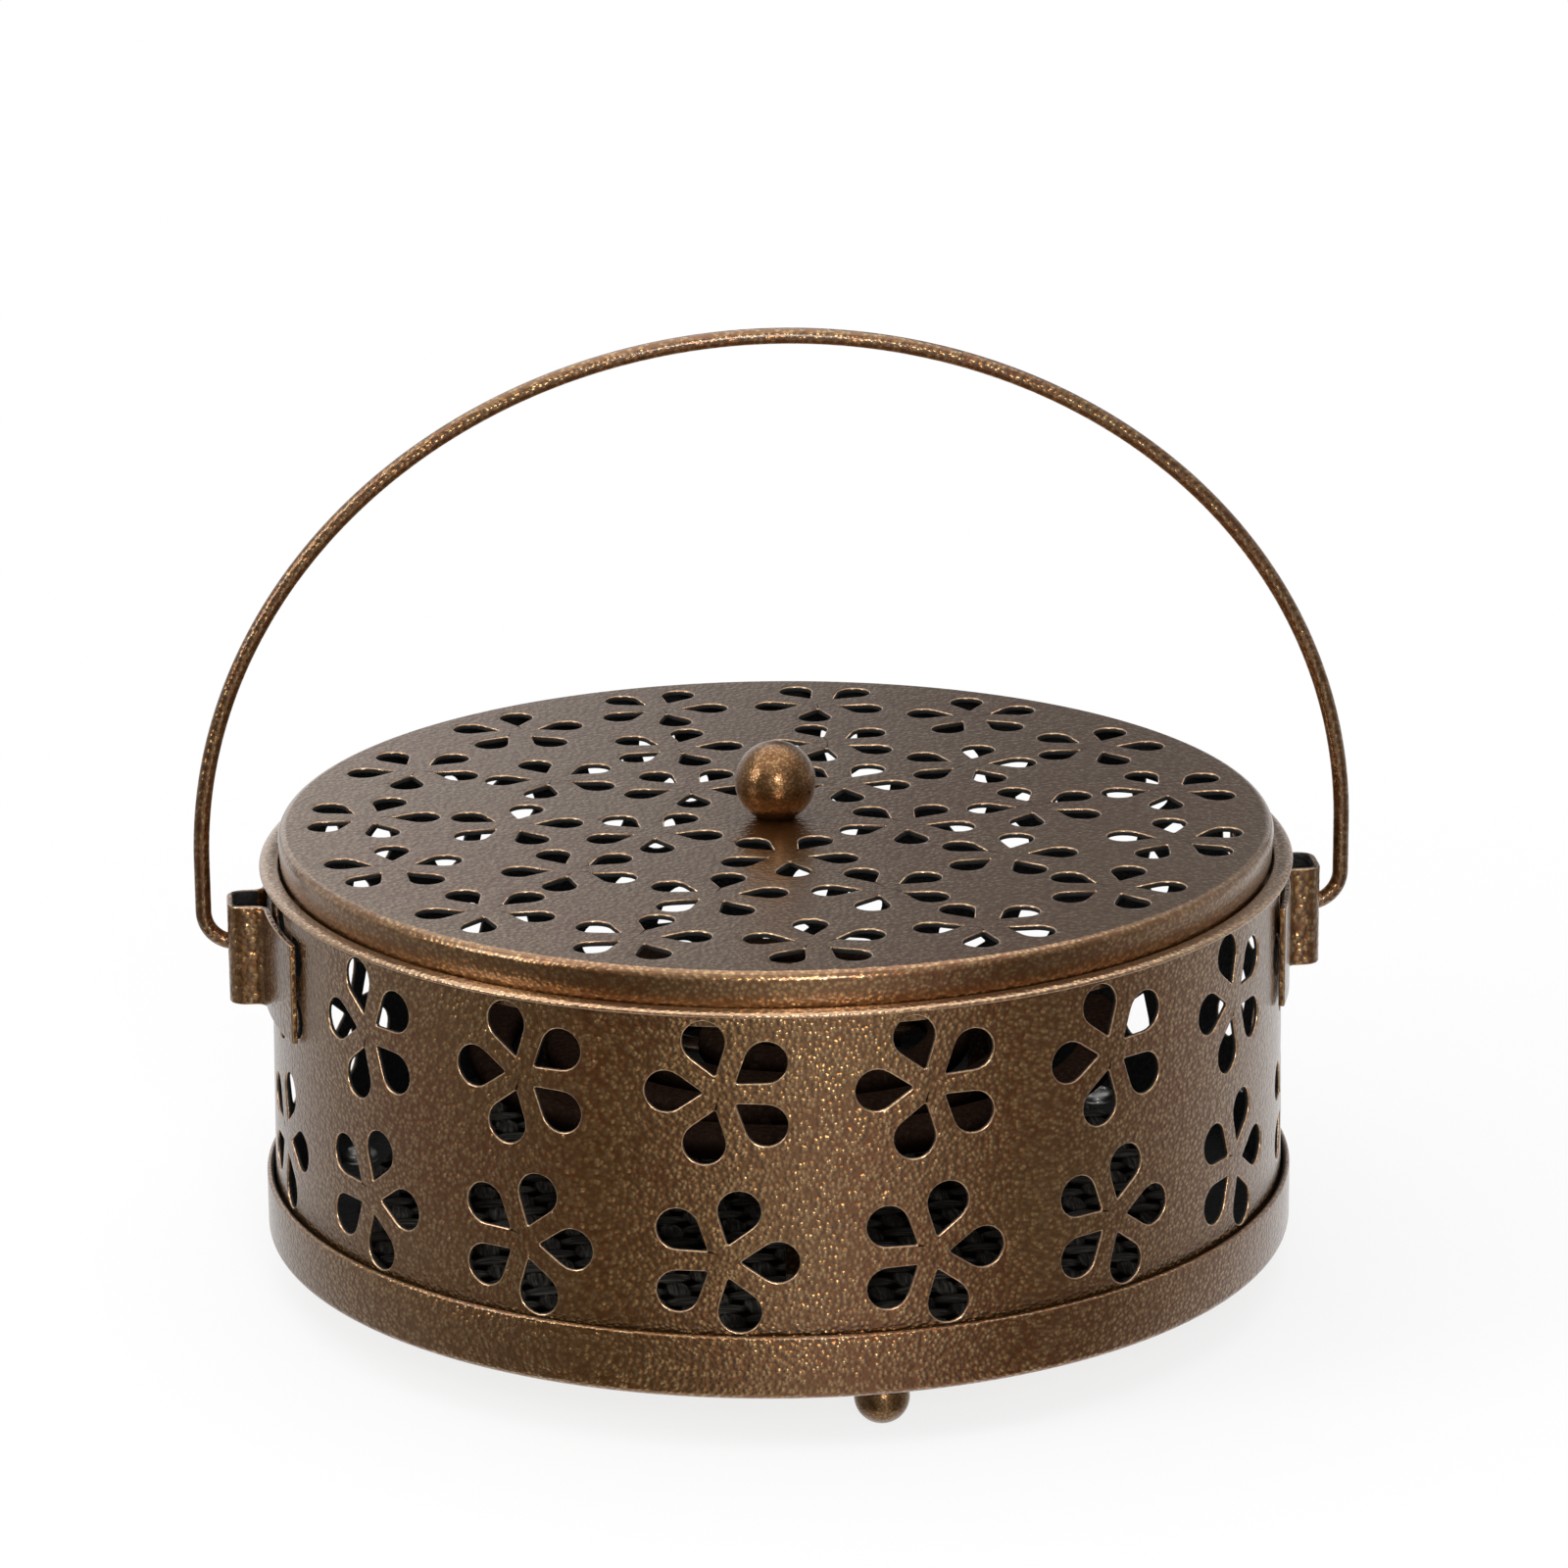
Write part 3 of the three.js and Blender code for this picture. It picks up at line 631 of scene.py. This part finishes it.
def build_tray():
    """Pressed dish: floor, rounded corner, upright band with an eased top edge, turned about Z."""
    top = FOOT_HEIGHT + TRAY_BAND
    corner = (TRAY_RADIUS - TRAY_CORNER, FOOT_HEIGHT + TRAY_CORNER)
    edge = TRAY_SHEET / 2
    profile = np.vstack([
        [[radius, FOOT_HEIGHT] for radius in (0, 30, 60, 72)],
        arc(corner, TRAY_CORNER, -90, 0, 8),
        arc((TRAY_RADIUS - edge, top - edge * 0.8), (edge, edge * 0.8), 0, 180, 10),
        arc(corner, TRAY_CORNER - TRAY_SHEET, 0, -90, 3),
        [[radius, TRAY_FLOOR] for radius in (70, 60, 30, 0)]])
    tray = piece("pressed_tray", *lathe(profile, 256), "base", tray_bronze)
    return tray


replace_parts(build_tray(), "base_tray")


# Lid

def lid_fifth(corner_radius, steps):
    """A fifth of the lid's flat top with its flowers: six whole flowers between two plain rays."""
    start, end = -90 - 36, -90 + 36
    radii = np.linspace(SCREW_HOLE, corner_radius, 34)[1:-1, None]
    border = np.vstack([
        arc((0, 0), corner_radius, start, end, steps), radii[::-1] * ray(end), arc((0, 0), SCREW_HOLE, end, start, 4),
        radii * ray(start)])
    holes = []
    for radius, angles, turn in LID_RINGS:
        for angle in angles:
            holes += flower(radius * ray(angle), LID_PETAL, angle + turn)
    return pierced(border, holes, 2.2)


def build_lid():
    """The flat fifth is turned five times about Z; the rounded edge and the drafted skirt follow as rings."""
    steps = 44
    corner_z = LID_TOP - LID_CORNER
    corner_r = skirt_radius(corner_z) - LID_CORNER
    flat, triangles = lid_fifth(corner_r, steps)
    points, faces = [], []
    for k in range(5):
        points.append(np.column_stack([rotated(flat, 72 * k), np.full(len(flat), LID_TOP)]))
        faces += (triangles + k * len(flat)).tolist()
    around = np.radians(-90 - 36 + np.arange(5 * steps) * 72 / steps)
    z = np.linspace(corner_z, LID_SKIRT_FOOT, 5)[1:]
    edge = np.vstack([arc((corner_r, corner_z), LID_CORNER, 90, 0, 8), np.stack([skirt_radius(z), z], -1)])
    skirt = np.stack([edge[:, None, 0] * np.cos(around), edge[:, None, 0] * np.sin(around),
                      np.broadcast_to(edge[:, None, 1], (len(edge), len(around)))], -1)
    faces += (grid_faces(len(edge), len(around), wrap_columns=True)[:, ::-1] + 5 * len(flat)).tolist()
    points.append(skirt.reshape(-1, 3))
    lid = piece("pierced_lid", *merged(np.vstack(points), faces, 2e-3), "lid", (lid_bronze, lid_edge))
    walled(lid, LID_SHEET, 0.16)
    return lid


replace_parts(build_lid(), "lid")


# Turned balls and screws

def build_ball(name, body, centre, radius, foot, seat):
    """A turned ball: r = R cos a, z = c + R sin a from the flat at the foot to the flat at the seat."""
    low, high = (math.degrees(math.asin(height / radius)) for height in (foot, seat))
    skin = arc((0, centre[2]), radius, low, high, 48)
    profile = np.vstack([[[0, centre[2] + foot]], skin, [[0, centre[2] + seat]]])
    ball = piece(name, *lathe(profile, 72, centre[:2]), body, ball_bronze)
    return ball


def build_screw(name, body, centre, upwards):
    """Pan head with a cross recess: height = rim + dome (1 - (r / R)^2)^0.4, less the depth of two crossing slots."""
    rim_height, dome_height = 0.45, 1.25
    slot_half, slot_reach, slot_depth = 0.42, 1.55, 0.85
    r = np.concatenate([np.linspace(0, 0.92, 16), [0.97, 1.0, 1.0]])[:, None] * SCREW_HEAD
    a = np.linspace(0, TAU, 64, endpoint=False)
    x, y = r * np.cos(a), r * np.sin(a)
    dome = rim_height + dome_height * np.sqrt(np.clip(1 - (r / SCREW_HEAD) ** 2, 0, 1)) ** 0.8

    def recess(across, along):
        return (np.clip((slot_half - np.abs(across)) / 0.14, 0, 1)
                * np.clip((slot_reach - np.abs(along)) / 0.3, 0, 1))

    z = dome - slot_depth * np.maximum(recess(x, y), recess(y, x))
    z[-1] = 0
    points = np.stack([x, y, z], -1).reshape(-1, 3)
    if not upwards:
        points = points * (1, -1, -1)
    faces = grid_faces(*x.shape, wrap_columns=True)[:, ::-1].tolist()
    faces.append(list(range(x.size - len(a), x.size)))
    screw = piece(name, *merged(points + np.asarray(centre), faces), body, zinc)
    return screw


def build_foot(i):
    """Ball foot between its pad and its seat, whose centre height follows from both, with its screw's head."""
    pad, seat = FOOT_PAD_RADIUS, FOOT_SEAT_RADIUS
    middle = (FOOT_HEIGHT + (seat ** 2 - pad ** 2) / FOOT_HEIGHT) / 2
    x, y = FOOT_CIRCLE * ray(FIRST_FOOT_ANGLE + 120 * i)
    radius = math.hypot(middle, pad)
    ball = build_ball(f"ball_foot_{i + 1}", "base", (x, y, middle), radius, -middle, FOOT_HEIGHT - middle)
    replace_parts(ball, f"foot_{i + 1}")
    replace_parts(build_screw(f"foot_screw_head_{i + 1}", "base", (x, y, TRAY_FLOOR), True), f"foot_screw_{i + 1}")


def build_knob():
    """Ball on its flat seat, sqrt(R^2 - r^2) below its centre, with its screw's head under the lid."""
    seat = math.sqrt(KNOB_RADIUS ** 2 - KNOB_SEAT_RADIUS ** 2)
    ball = build_ball("ball_knob", "lid", (0, 0, LID_TOP + seat), KNOB_RADIUS, -seat, KNOB_RADIUS)
    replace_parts(ball, "lid_knob")
    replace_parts(build_screw("knob_screw_head", "lid", (0, 0, LID_TOP - LID_SHEET), False), "knob_screw")


for i in range(3):
    build_foot(i)
build_knob()


# Bail and lugs

def build_bail():
    """Wire along x = half width cos t, z = arch foot + rise sin t above short legs; the ends turn in to the
    pivots through a quarter bend."""
    bend = arc((BAIL_HALF_WIDTH - BAIL_BEND, PIVOT + BAIL_BEND), BAIL_BEND, -90, 0, 14)
    legs = np.stack([np.full(5, BAIL_HALF_WIDTH), np.linspace(PIVOT + BAIL_BEND, ARCH_FOOT, 7)[1:-1]], -1)
    arch = arc((0, ARCH_FOOT), (BAIL_HALF_WIDTH, ARCH_RISE), 0, 90, 89)
    tip = wall_radius(PIVOT) + BAIL_END_TO_WALL + 0.6
    half = np.vstack([[[tip, PIVOT], [(tip + bend[0, 0]) / 2, PIVOT]], bend, legs, arch])
    whole = np.vstack([half, half[-2::-1] * (-1, 1)])
    path = np.stack([whole[:, 0], np.zeros(len(whole)), whole[:, 1]], -1)
    bail = piece("wire_bail", *tube(path, ring((0, 0), WIRE_RADIUS, 24), (0, 1, 0), 5), "bail", wire_bronze)
    return bail


def lug_plan():
    """Centre line of the strap in plan: flange on the wall, root bend, side, corner and flat face, mirrored."""
    flange = wall_radius(LUG_FOOT) + FIT_GAP + LUG_SHEET / 2
    side, face, corner = (LUG_WIDTH - LUG_SHEET) / 2, LUG_FACE - LUG_SHEET / 2, LUG_CORNER - LUG_SHEET / 2
    root_y = side + LUG_ROOT
    root_x = math.sqrt((flange + LUG_ROOT) ** 2 - root_y ** 2)
    root_angle = math.degrees(math.asin(root_y / (flange + LUG_ROOT)))
    end_angle = math.degrees(math.asin(LUG_FLANGE_HALF / flange))
    half = np.vstack([
        arc((0, 0), flange, end_angle, root_angle, 14),
        arc((root_x, root_y), LUG_ROOT, 180 + root_angle, 270, 8)[1:],
        arc((face - corner, side - corner), corner, 90, 0, 8), [[face, 0.5 * (side - corner)]]])
    return np.vstack([half, [[face, 0]], half[::-1] * (1, -1)])


def build_lug(name, sign):
    """The strap is cut flat, with u along its centre line and v upwards, a round hole in the face, then bent."""
    plan = lug_plan()
    u = np.concatenate([[0], np.cumsum(np.linalg.norm(np.diff(plan, axis=0), axis=1))])
    border = rectangle(u, np.linspace(LUG_FOOT, LUG_TOP, 12))
    flat, triangles = pierced(border, [ring((u[-1] / 2, PIVOT), PIVOT_HOLE, 24)], 0.9)
    x, y = np.interp(flat[:, 0], u, plan[:, 0]), np.interp(flat[:, 0], u, plan[:, 1])
    points = np.stack([sign * x, sign * y, flat[:, 1]], -1)
    lug = piece(name, points, triangles.tolist(), "base", (lug_bronze, lug_edge))
    walled(lug, LUG_SHEET, 0.2, offset=0)
    return lug


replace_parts(build_bail(), "bail_handle")
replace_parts(build_lug("strap_lug_right", 1), "lug_right")
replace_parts(build_lug("strap_lug_left", -1), "lug_left")


# Coil

def coil_place(turns, outwards=0.0, up=0.0):
    """Point of the spiral r = pitch (n + 1/3), whose angle reaches 10 degrees at its outer end."""
    radius = COIL_PITCH * (turns + 1 / 3) + outwards
    angle = math.radians(10) - TAU * (COIL_TURNS - turns)
    return np.stack([radius * np.cos(angle), radius * np.sin(angle), STAND_TOP + up + 0 * angle], -1)


def build_coil():
    """Spiral strand with a rounded section, snapped square at its outer end."""
    section = rounded(COIL_WIDTH / 2, COIL_HEIGHT / 2, 0.6, 20) + (0, COIL_HEIGHT / 2)
    path = coil_place(np.linspace(0, COIL_TURNS, 480))
    coil = piece("pressed_coil", *tube(path, section, (0, 0, 1)), "base", dust)
    return coil


def build_coil_bridges():
    """Stubs of the small bridges that held the next coil of the pair, snapped off the strand's outer side."""
    section = rounded(0.8, 1.1, 0.5, 12)
    first, every, up = 0.62, 0.29, 2.0
    points, faces, count = [], [], 0
    for turns in np.arange(first, COIL_TURNS, every):
        path = np.array([coil_place(turns, out, up) for out in (2.8, 3.6, 4.1)])
        made, sides = tube(path, section, (0, 0, 1))
        points.append(made)
        faces += [[corner + count for corner in side] for side in sides]
        count += len(made)
    bridges = piece("coil_bridges", np.vstack(points), faces, "base", dust)
    return bridges


def build_coil_head():
    """Oval head with a slot for the stand's tongue, drawn as rings between the slot and the eased outline."""
    around = 96
    a = np.linspace(0, TAU, around, endpoint=False)
    oval = np.stack([COIL_HEAD_HALVES[0] * np.cos(a), COIL_HEAD_HALVES[1] * np.sin(a)], -1)
    slot_halves = TONGUE_HALF + FIT_GAP, STAND_SHEET / 2 + FIT_GAP
    reach = 1 / np.maximum(np.abs(np.cos(a)) / slot_halves[0], np.abs(np.sin(a)) / slot_halves[1])
    slot = np.stack([reach * np.cos(a), reach * np.sin(a)], -1)
    z0, z1 = STAND_TOP, STAND_TOP + COIL_HEIGHT + 0.05
    rows = [(slot, z0), (oval * 0.96, z0), (oval, z0 + 0.4), (oval, z1 - 0.8), (oval * 0.95, z1 - 0.2),
            (oval * 0.88, z1), (slot * 0.4 + oval * 0.6, z1), (slot * 1.06, z1),
            (slot, z1 - 0.3), (slot, z0)]
    points = np.vstack([np.column_stack([outline, np.full(around, z)]) for outline, z in rows])
    faces = grid_faces(len(rows), around, wrap_columns=True).tolist()
    head = piece("coil_head", *merged(points, faces), "base", dust)
    return head


for part in (build_coil(), build_coil_bridges(), build_coil_head()):
    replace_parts(part, "mosquito_coil")


# Stand

def build_stand_arm(k):
    """Strip of a rounded section along deck, bend, leg, bend and foot, turned to its own angle."""
    deck, sole = STAND_TOP - STAND_SHEET / 2, MAT_TOP + STAND_SHEET / 2
    reach, bend = STAND_REACH, STAND_BEND
    line = np.vstack([
        [[0, deck], [12, deck], [24, deck]], arc((reach - bend, deck - bend), bend, 90, 0, 10),
        arc((reach + bend, sole + bend), bend, 180, 270, 10), [[reach + bend + STAND_FOOT, sole]]])
    out = np.append(ray(30 + 120 * k), 0)
    cross = np.append(ray(120 + 120 * k), 0)
    path = line[:, :1] * out + line[:, 1:] * np.array([0, 0, 1])
    section = rounded(STAND_SHEET / 2, STAND_ARM_HALF, 0.4, 28)
    return piece(f"stand_arm_{k + 1}", *tube(path, section, cross), "base", stand_bronze)


def build_stand_hub():
    """Flat disc under the coil's head with an eased edge, turned about Z."""
    deck, half, edge = STAND_TOP - STAND_SHEET / 2, STAND_SHEET / 2, 0.4
    profile = np.vstack([
        [[0, deck - half]], arc((STAND_HUB_RADIUS - edge, deck - half + edge), edge, -90, 0, 3),
        arc((STAND_HUB_RADIUS - edge, deck + half - edge), edge, 0, 90, 3), [[0, deck + half]]])
    return piece("stand_hub", *lathe(profile, 72), "base", stand_bronze)


def build_stand_tongue():
    """Upright blade through the coil's head, narrowing to its tip."""
    top = STAND_TOP + COIL_HEIGHT + TONGUE_OVER
    z = np.array([STAND_TOP - STAND_SHEET, top - 1.6, top - 0.7, top])[:, None]
    half = np.array([TONGUE_HALF, TONGUE_HALF, 1.45, 0.7])[:, None]
    x, y = np.array([[1, 1], [-1, 1], [-1, -1], [1, -1]]).T
    points = np.stack([half * x, 0 * z + STAND_SHEET / 2 * y, z + 0 * x], -1).reshape(-1, 3)
    faces = grid_faces(4, 4, wrap_columns=True).tolist() + [[3, 2, 1, 0], [12, 13, 14, 15]]
    blade = piece("stand_tongue", points, faces, "base", stand_bronze, smooth=False)
    eased(blade, 0.12)
    return blade


for part in [build_stand_arm(k) for k in range(3)] + [build_stand_hub(), build_stand_tongue()]:
    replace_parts(part, "coil_stand")


# Mat

def weave(x, y):
    """Lift from 0 to 1 of a plain weave, and 1 where the weft is on top. A tow is rounded across by
    sqrt(1 - (2 d / width)^2), and rises and falls along itself by 0.55 + 0.45 cos, over and under in turn."""
    pitch, width, turn = 4.6, 0.74, 9

    def tow(across, along, sign):
        line = np.round(across)
        bow = np.sqrt(np.clip(1 - (2 * (across - line) / width) ** 2, 0, 1))
        return bow * (0.55 + 0.45 * sign * np.cos(np.pi * (along + line)))

    c, s = ray(turn)
    u, v = (c * x + s * y) / pitch, (c * y - s * x) / pitch
    warp, weft = tow(u, v, 1), tow(v, u, -1)
    return np.maximum(warp, weft), (weft > warp).astype(float)


def build_mat():
    """Woven disc on a square grid drawn in to the circle: z = top + the lift of whichever tow is higher."""
    steps = 230
    s, t = np.meshgrid(np.linspace(-1, 1, steps), np.linspace(-1, 1, steps), indexing="ij")
    x, y = MAT_RADIUS * s * np.sqrt(1 - t ** 2 / 2), MAT_RADIUS * t * np.sqrt(1 - s ** 2 / 2)
    z = MAT_TOP - MAT_RELIEF + MAT_RELIEF * weave(x, y)[0]
    bottom = TRAY_FLOOR + 0.05
    edge = np.concatenate([np.arange(steps), np.arange(1, steps) * steps + steps - 1,
                           (steps - 1) * steps + np.arange(steps - 2, -1, -1), np.arange(steps - 2, 0, -1) * steps])
    top = np.stack([x, y, z], -1).reshape(-1, 3)
    skirt = top[edge] * (1, 1, 0) + (0, 0, bottom)
    n, count = len(edge), len(top)
    after = np.roll(np.arange(n), -1)
    faces = grid_faces(steps, steps)[:, ::-1].tolist()
    faces += np.stack([edge, edge[after], count + after, count + np.arange(n)], -1).tolist()
    faces.append((count + np.arange(n)).tolist())
    points = np.vstack([top, skirt])
    mat = piece("woven_mat", points, faces, "base", cloth)
    for name, value in zip(("lift", "tow"), weave(points[:, 0], points[:, 1])):
        mat.data.attributes.new(name, "FLOAT", "POINT").data.foreach_set("value", value.astype(np.float32))
    return mat


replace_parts(build_mat(), "glass_fibre_mat")


# Studio

# Greys of the walls around the holder, by degrees from the front to the right: below and above table height
LOW_GREYS = ((-180, 0.8), (-132, 0.55), (-98, 0.32), (-66, 0.22), (-44, 0.04), (-22, 0.28), (4, 0.85), (24, 0.6),
             (46, 0.12), (66, 0.2), (90, 0.5), (112, 0.6), (135, 0.8), (180, 0.8))
HIGH_GREYS = ((-180, 0.5), (-171, 1.0), (-90, 0.6), (-48, 0.2), (-20, 0.7), (0, 1.0), (22, 0.9), (48, 0.2),
              (90, 0.6), (150, 0.6), (171, 0.12), (180, 0.5))
PLAIN_LIGHT = 0.42
WALLS_RADIUS, WALLS_FOOT, WALLS_TOP = 2000, -2200, 1500
FLOOR_RADIUS, FLOOR_CORNERS, FLOOR_DROP = 3, 64, 0.0002


def build_world():
    """White to the camera and in metal; all other light has one plain level."""
    world = bpy.data.worlds.new("white_studio")
    bpy.context.scene.world = world
    world.use_nodes = True
    world.cycles.sampling_method = "NONE"
    g = Graph(world.node_tree)
    plain = g.node("ShaderNodeBackground", {}, {"Color": (1, 1, 1), "Strength": PLAIN_LIGHT})
    white = g.node("ShaderNodeBackground", {}, {"Color": (1, 1, 1), "Strength": 1.0})
    clear = g.seen_by("Is Camera Ray").highest(g.seen_by("Is Glossy Ray")).highest(g.seen_by("Is Transmission Ray"))
    seen = g.node("ShaderNodeMixShader", {}, {0: clear, 1: plain, 2: white})
    g.feed(g.tree.nodes["World Output"].inputs[0], seen)


def build_studio_walls():
    """Round studio wall that only shows in the metal: low down bright behind and in front with dark cards between,
    and bright above table height."""
    points, faces = lathe([[WALLS_RADIUS, WALLS_FOOT], [WALLS_RADIUS, 0], [WALLS_RADIUS, WALLS_TOP]], 96)
    mesh = bpy.data.meshes.new("studio_walls")
    mesh.from_pydata((points * MM).tolist(), [], faces)
    walls = linked("studio_walls", mesh)
    walls.visible_camera = walls.visible_diffuse = walls.visible_shadow = walls.visible_transmission = False
    m = Material("studio_greys")
    angle = m.node("ShaderNodeMath", {"operation": "ARCTAN2"}, {0: m.axis(m.place, "X"), 1: -m.axis(m.place, "Y")})
    low, high = (m.ramp(angle / TAU + 0.5, *((degrees / 360 + 0.5, (grey,) * 3) for degrees, grey in greys))
                 for greys in (LOW_GREYS, HIGH_GREYS))
    m.set(Base_Color=(0, 0, 0), Specular_IOR_Level=0.0, Emission_Strength=1.0,
          Emission_Color=m.mix(m.height().above(-100, 400), low, high))
    mesh.materials.append(m.made)


def build_floor():
    """A wide pale disc; to the camera it turns white away from the holder, so only the shadow shows."""
    mesh = bpy.data.meshes.new("floor")
    rim = FLOOR_RADIUS * ring((0, 0), 1, FLOOR_CORNERS)
    points = np.column_stack([rim, np.full(FLOOR_CORNERS, -FLOOR_DROP)])
    mesh.from_pydata(points.tolist(), [], [list(range(FLOOR_CORNERS))])
    floor = linked("floor", mesh)
    floor.visible_glossy = False
    m = Material("pale_floor")
    m.set(Base_Color=(0.86, 0.86, 0.86), Roughness=0.9, Specular_IOR_Level=0.1)
    glow = m.node("ShaderNodeEmission", {}, {"Color": (1, 1, 1), "Strength": 1.0})
    far = m.radius().above(100, 300)
    blend = m.node("ShaderNodeMixShader", {}, {
        0: (far * 0.2 + 0.8) * m.seen_by("Is Camera Ray"), 1: Wire(m, m.shader.outputs[0]), 2: glow})
    m.feed(m.tree.nodes["Material Output"].inputs[0], blend)
    mesh.materials.append(m.made)


def area_light(name, place, target, size, power):
    """Rectangular lamp of the given size in metres and power in watts, turned to its target."""
    data = bpy.data.lights.new(name, "AREA")
    data.shape = "RECTANGLE"
    data.size, data.size_y = size
    data.energy = power
    lamp = linked(name, data)
    lamp.location = place
    lamp.rotation_euler = (Vector(target) - Vector(place)).to_track_quat("-Z", "Y").to_euler()


build_world()
build_studio_walls()
build_floor()
area_light("softbox_top", (-0.1, 0.1, 0.9), (0, 0, 0.03), (1.3, 1.3), 7.0)
area_light("softbox_left", (-0.75, -0.25, 0.45), (0, 0, 0.05), (0.3, 0.45), 2.5)
area_light("softbox_front", (0.05, -0.85, 0.4), (0, 0, 0.05), (0.2, 0.3), 3.0)


# Camera

def build_camera():
    """The photograph's viewpoint: a long lens in front and a little above, with the holder turned 5.2 degrees."""
    photo_pixels, lens_pixels, sensor = 1600, 6594, 36
    in_front, above_tray = 0.897, 0.337
    pitch, yaw, roll, turned = (math.radians(v) for v in (16.84, 0.08, -0.46, 5.21))
    forward = Vector((math.sin(yaw) * math.cos(pitch), math.cos(yaw) * math.cos(pitch), -math.sin(pitch)))
    right = Vector((math.cos(yaw), -math.sin(yaw), 0))
    up = right.cross(forward)
    right, up = math.cos(roll) * right + math.sin(roll) * up, math.cos(roll) * up - math.sin(roll) * right
    axes = Matrix((right, up, -forward)).transposed().to_4x4()
    place = Matrix.Translation((0, -in_front, above_tray + FOOT_HEIGHT * MM))
    data = bpy.data.cameras.new("camera")
    data.sensor_width = sensor
    data.lens = sensor * lens_pixels / photo_pixels
    data.clip_start = 0.05
    camera = linked("camera", data)
    camera.matrix_world = Matrix.Rotation(-turned, 4, "Z") @ place @ axes
    bpy.context.scene.camera = camera


build_camera()
bpy.context.scene.view_settings.view_transform = "Standard"
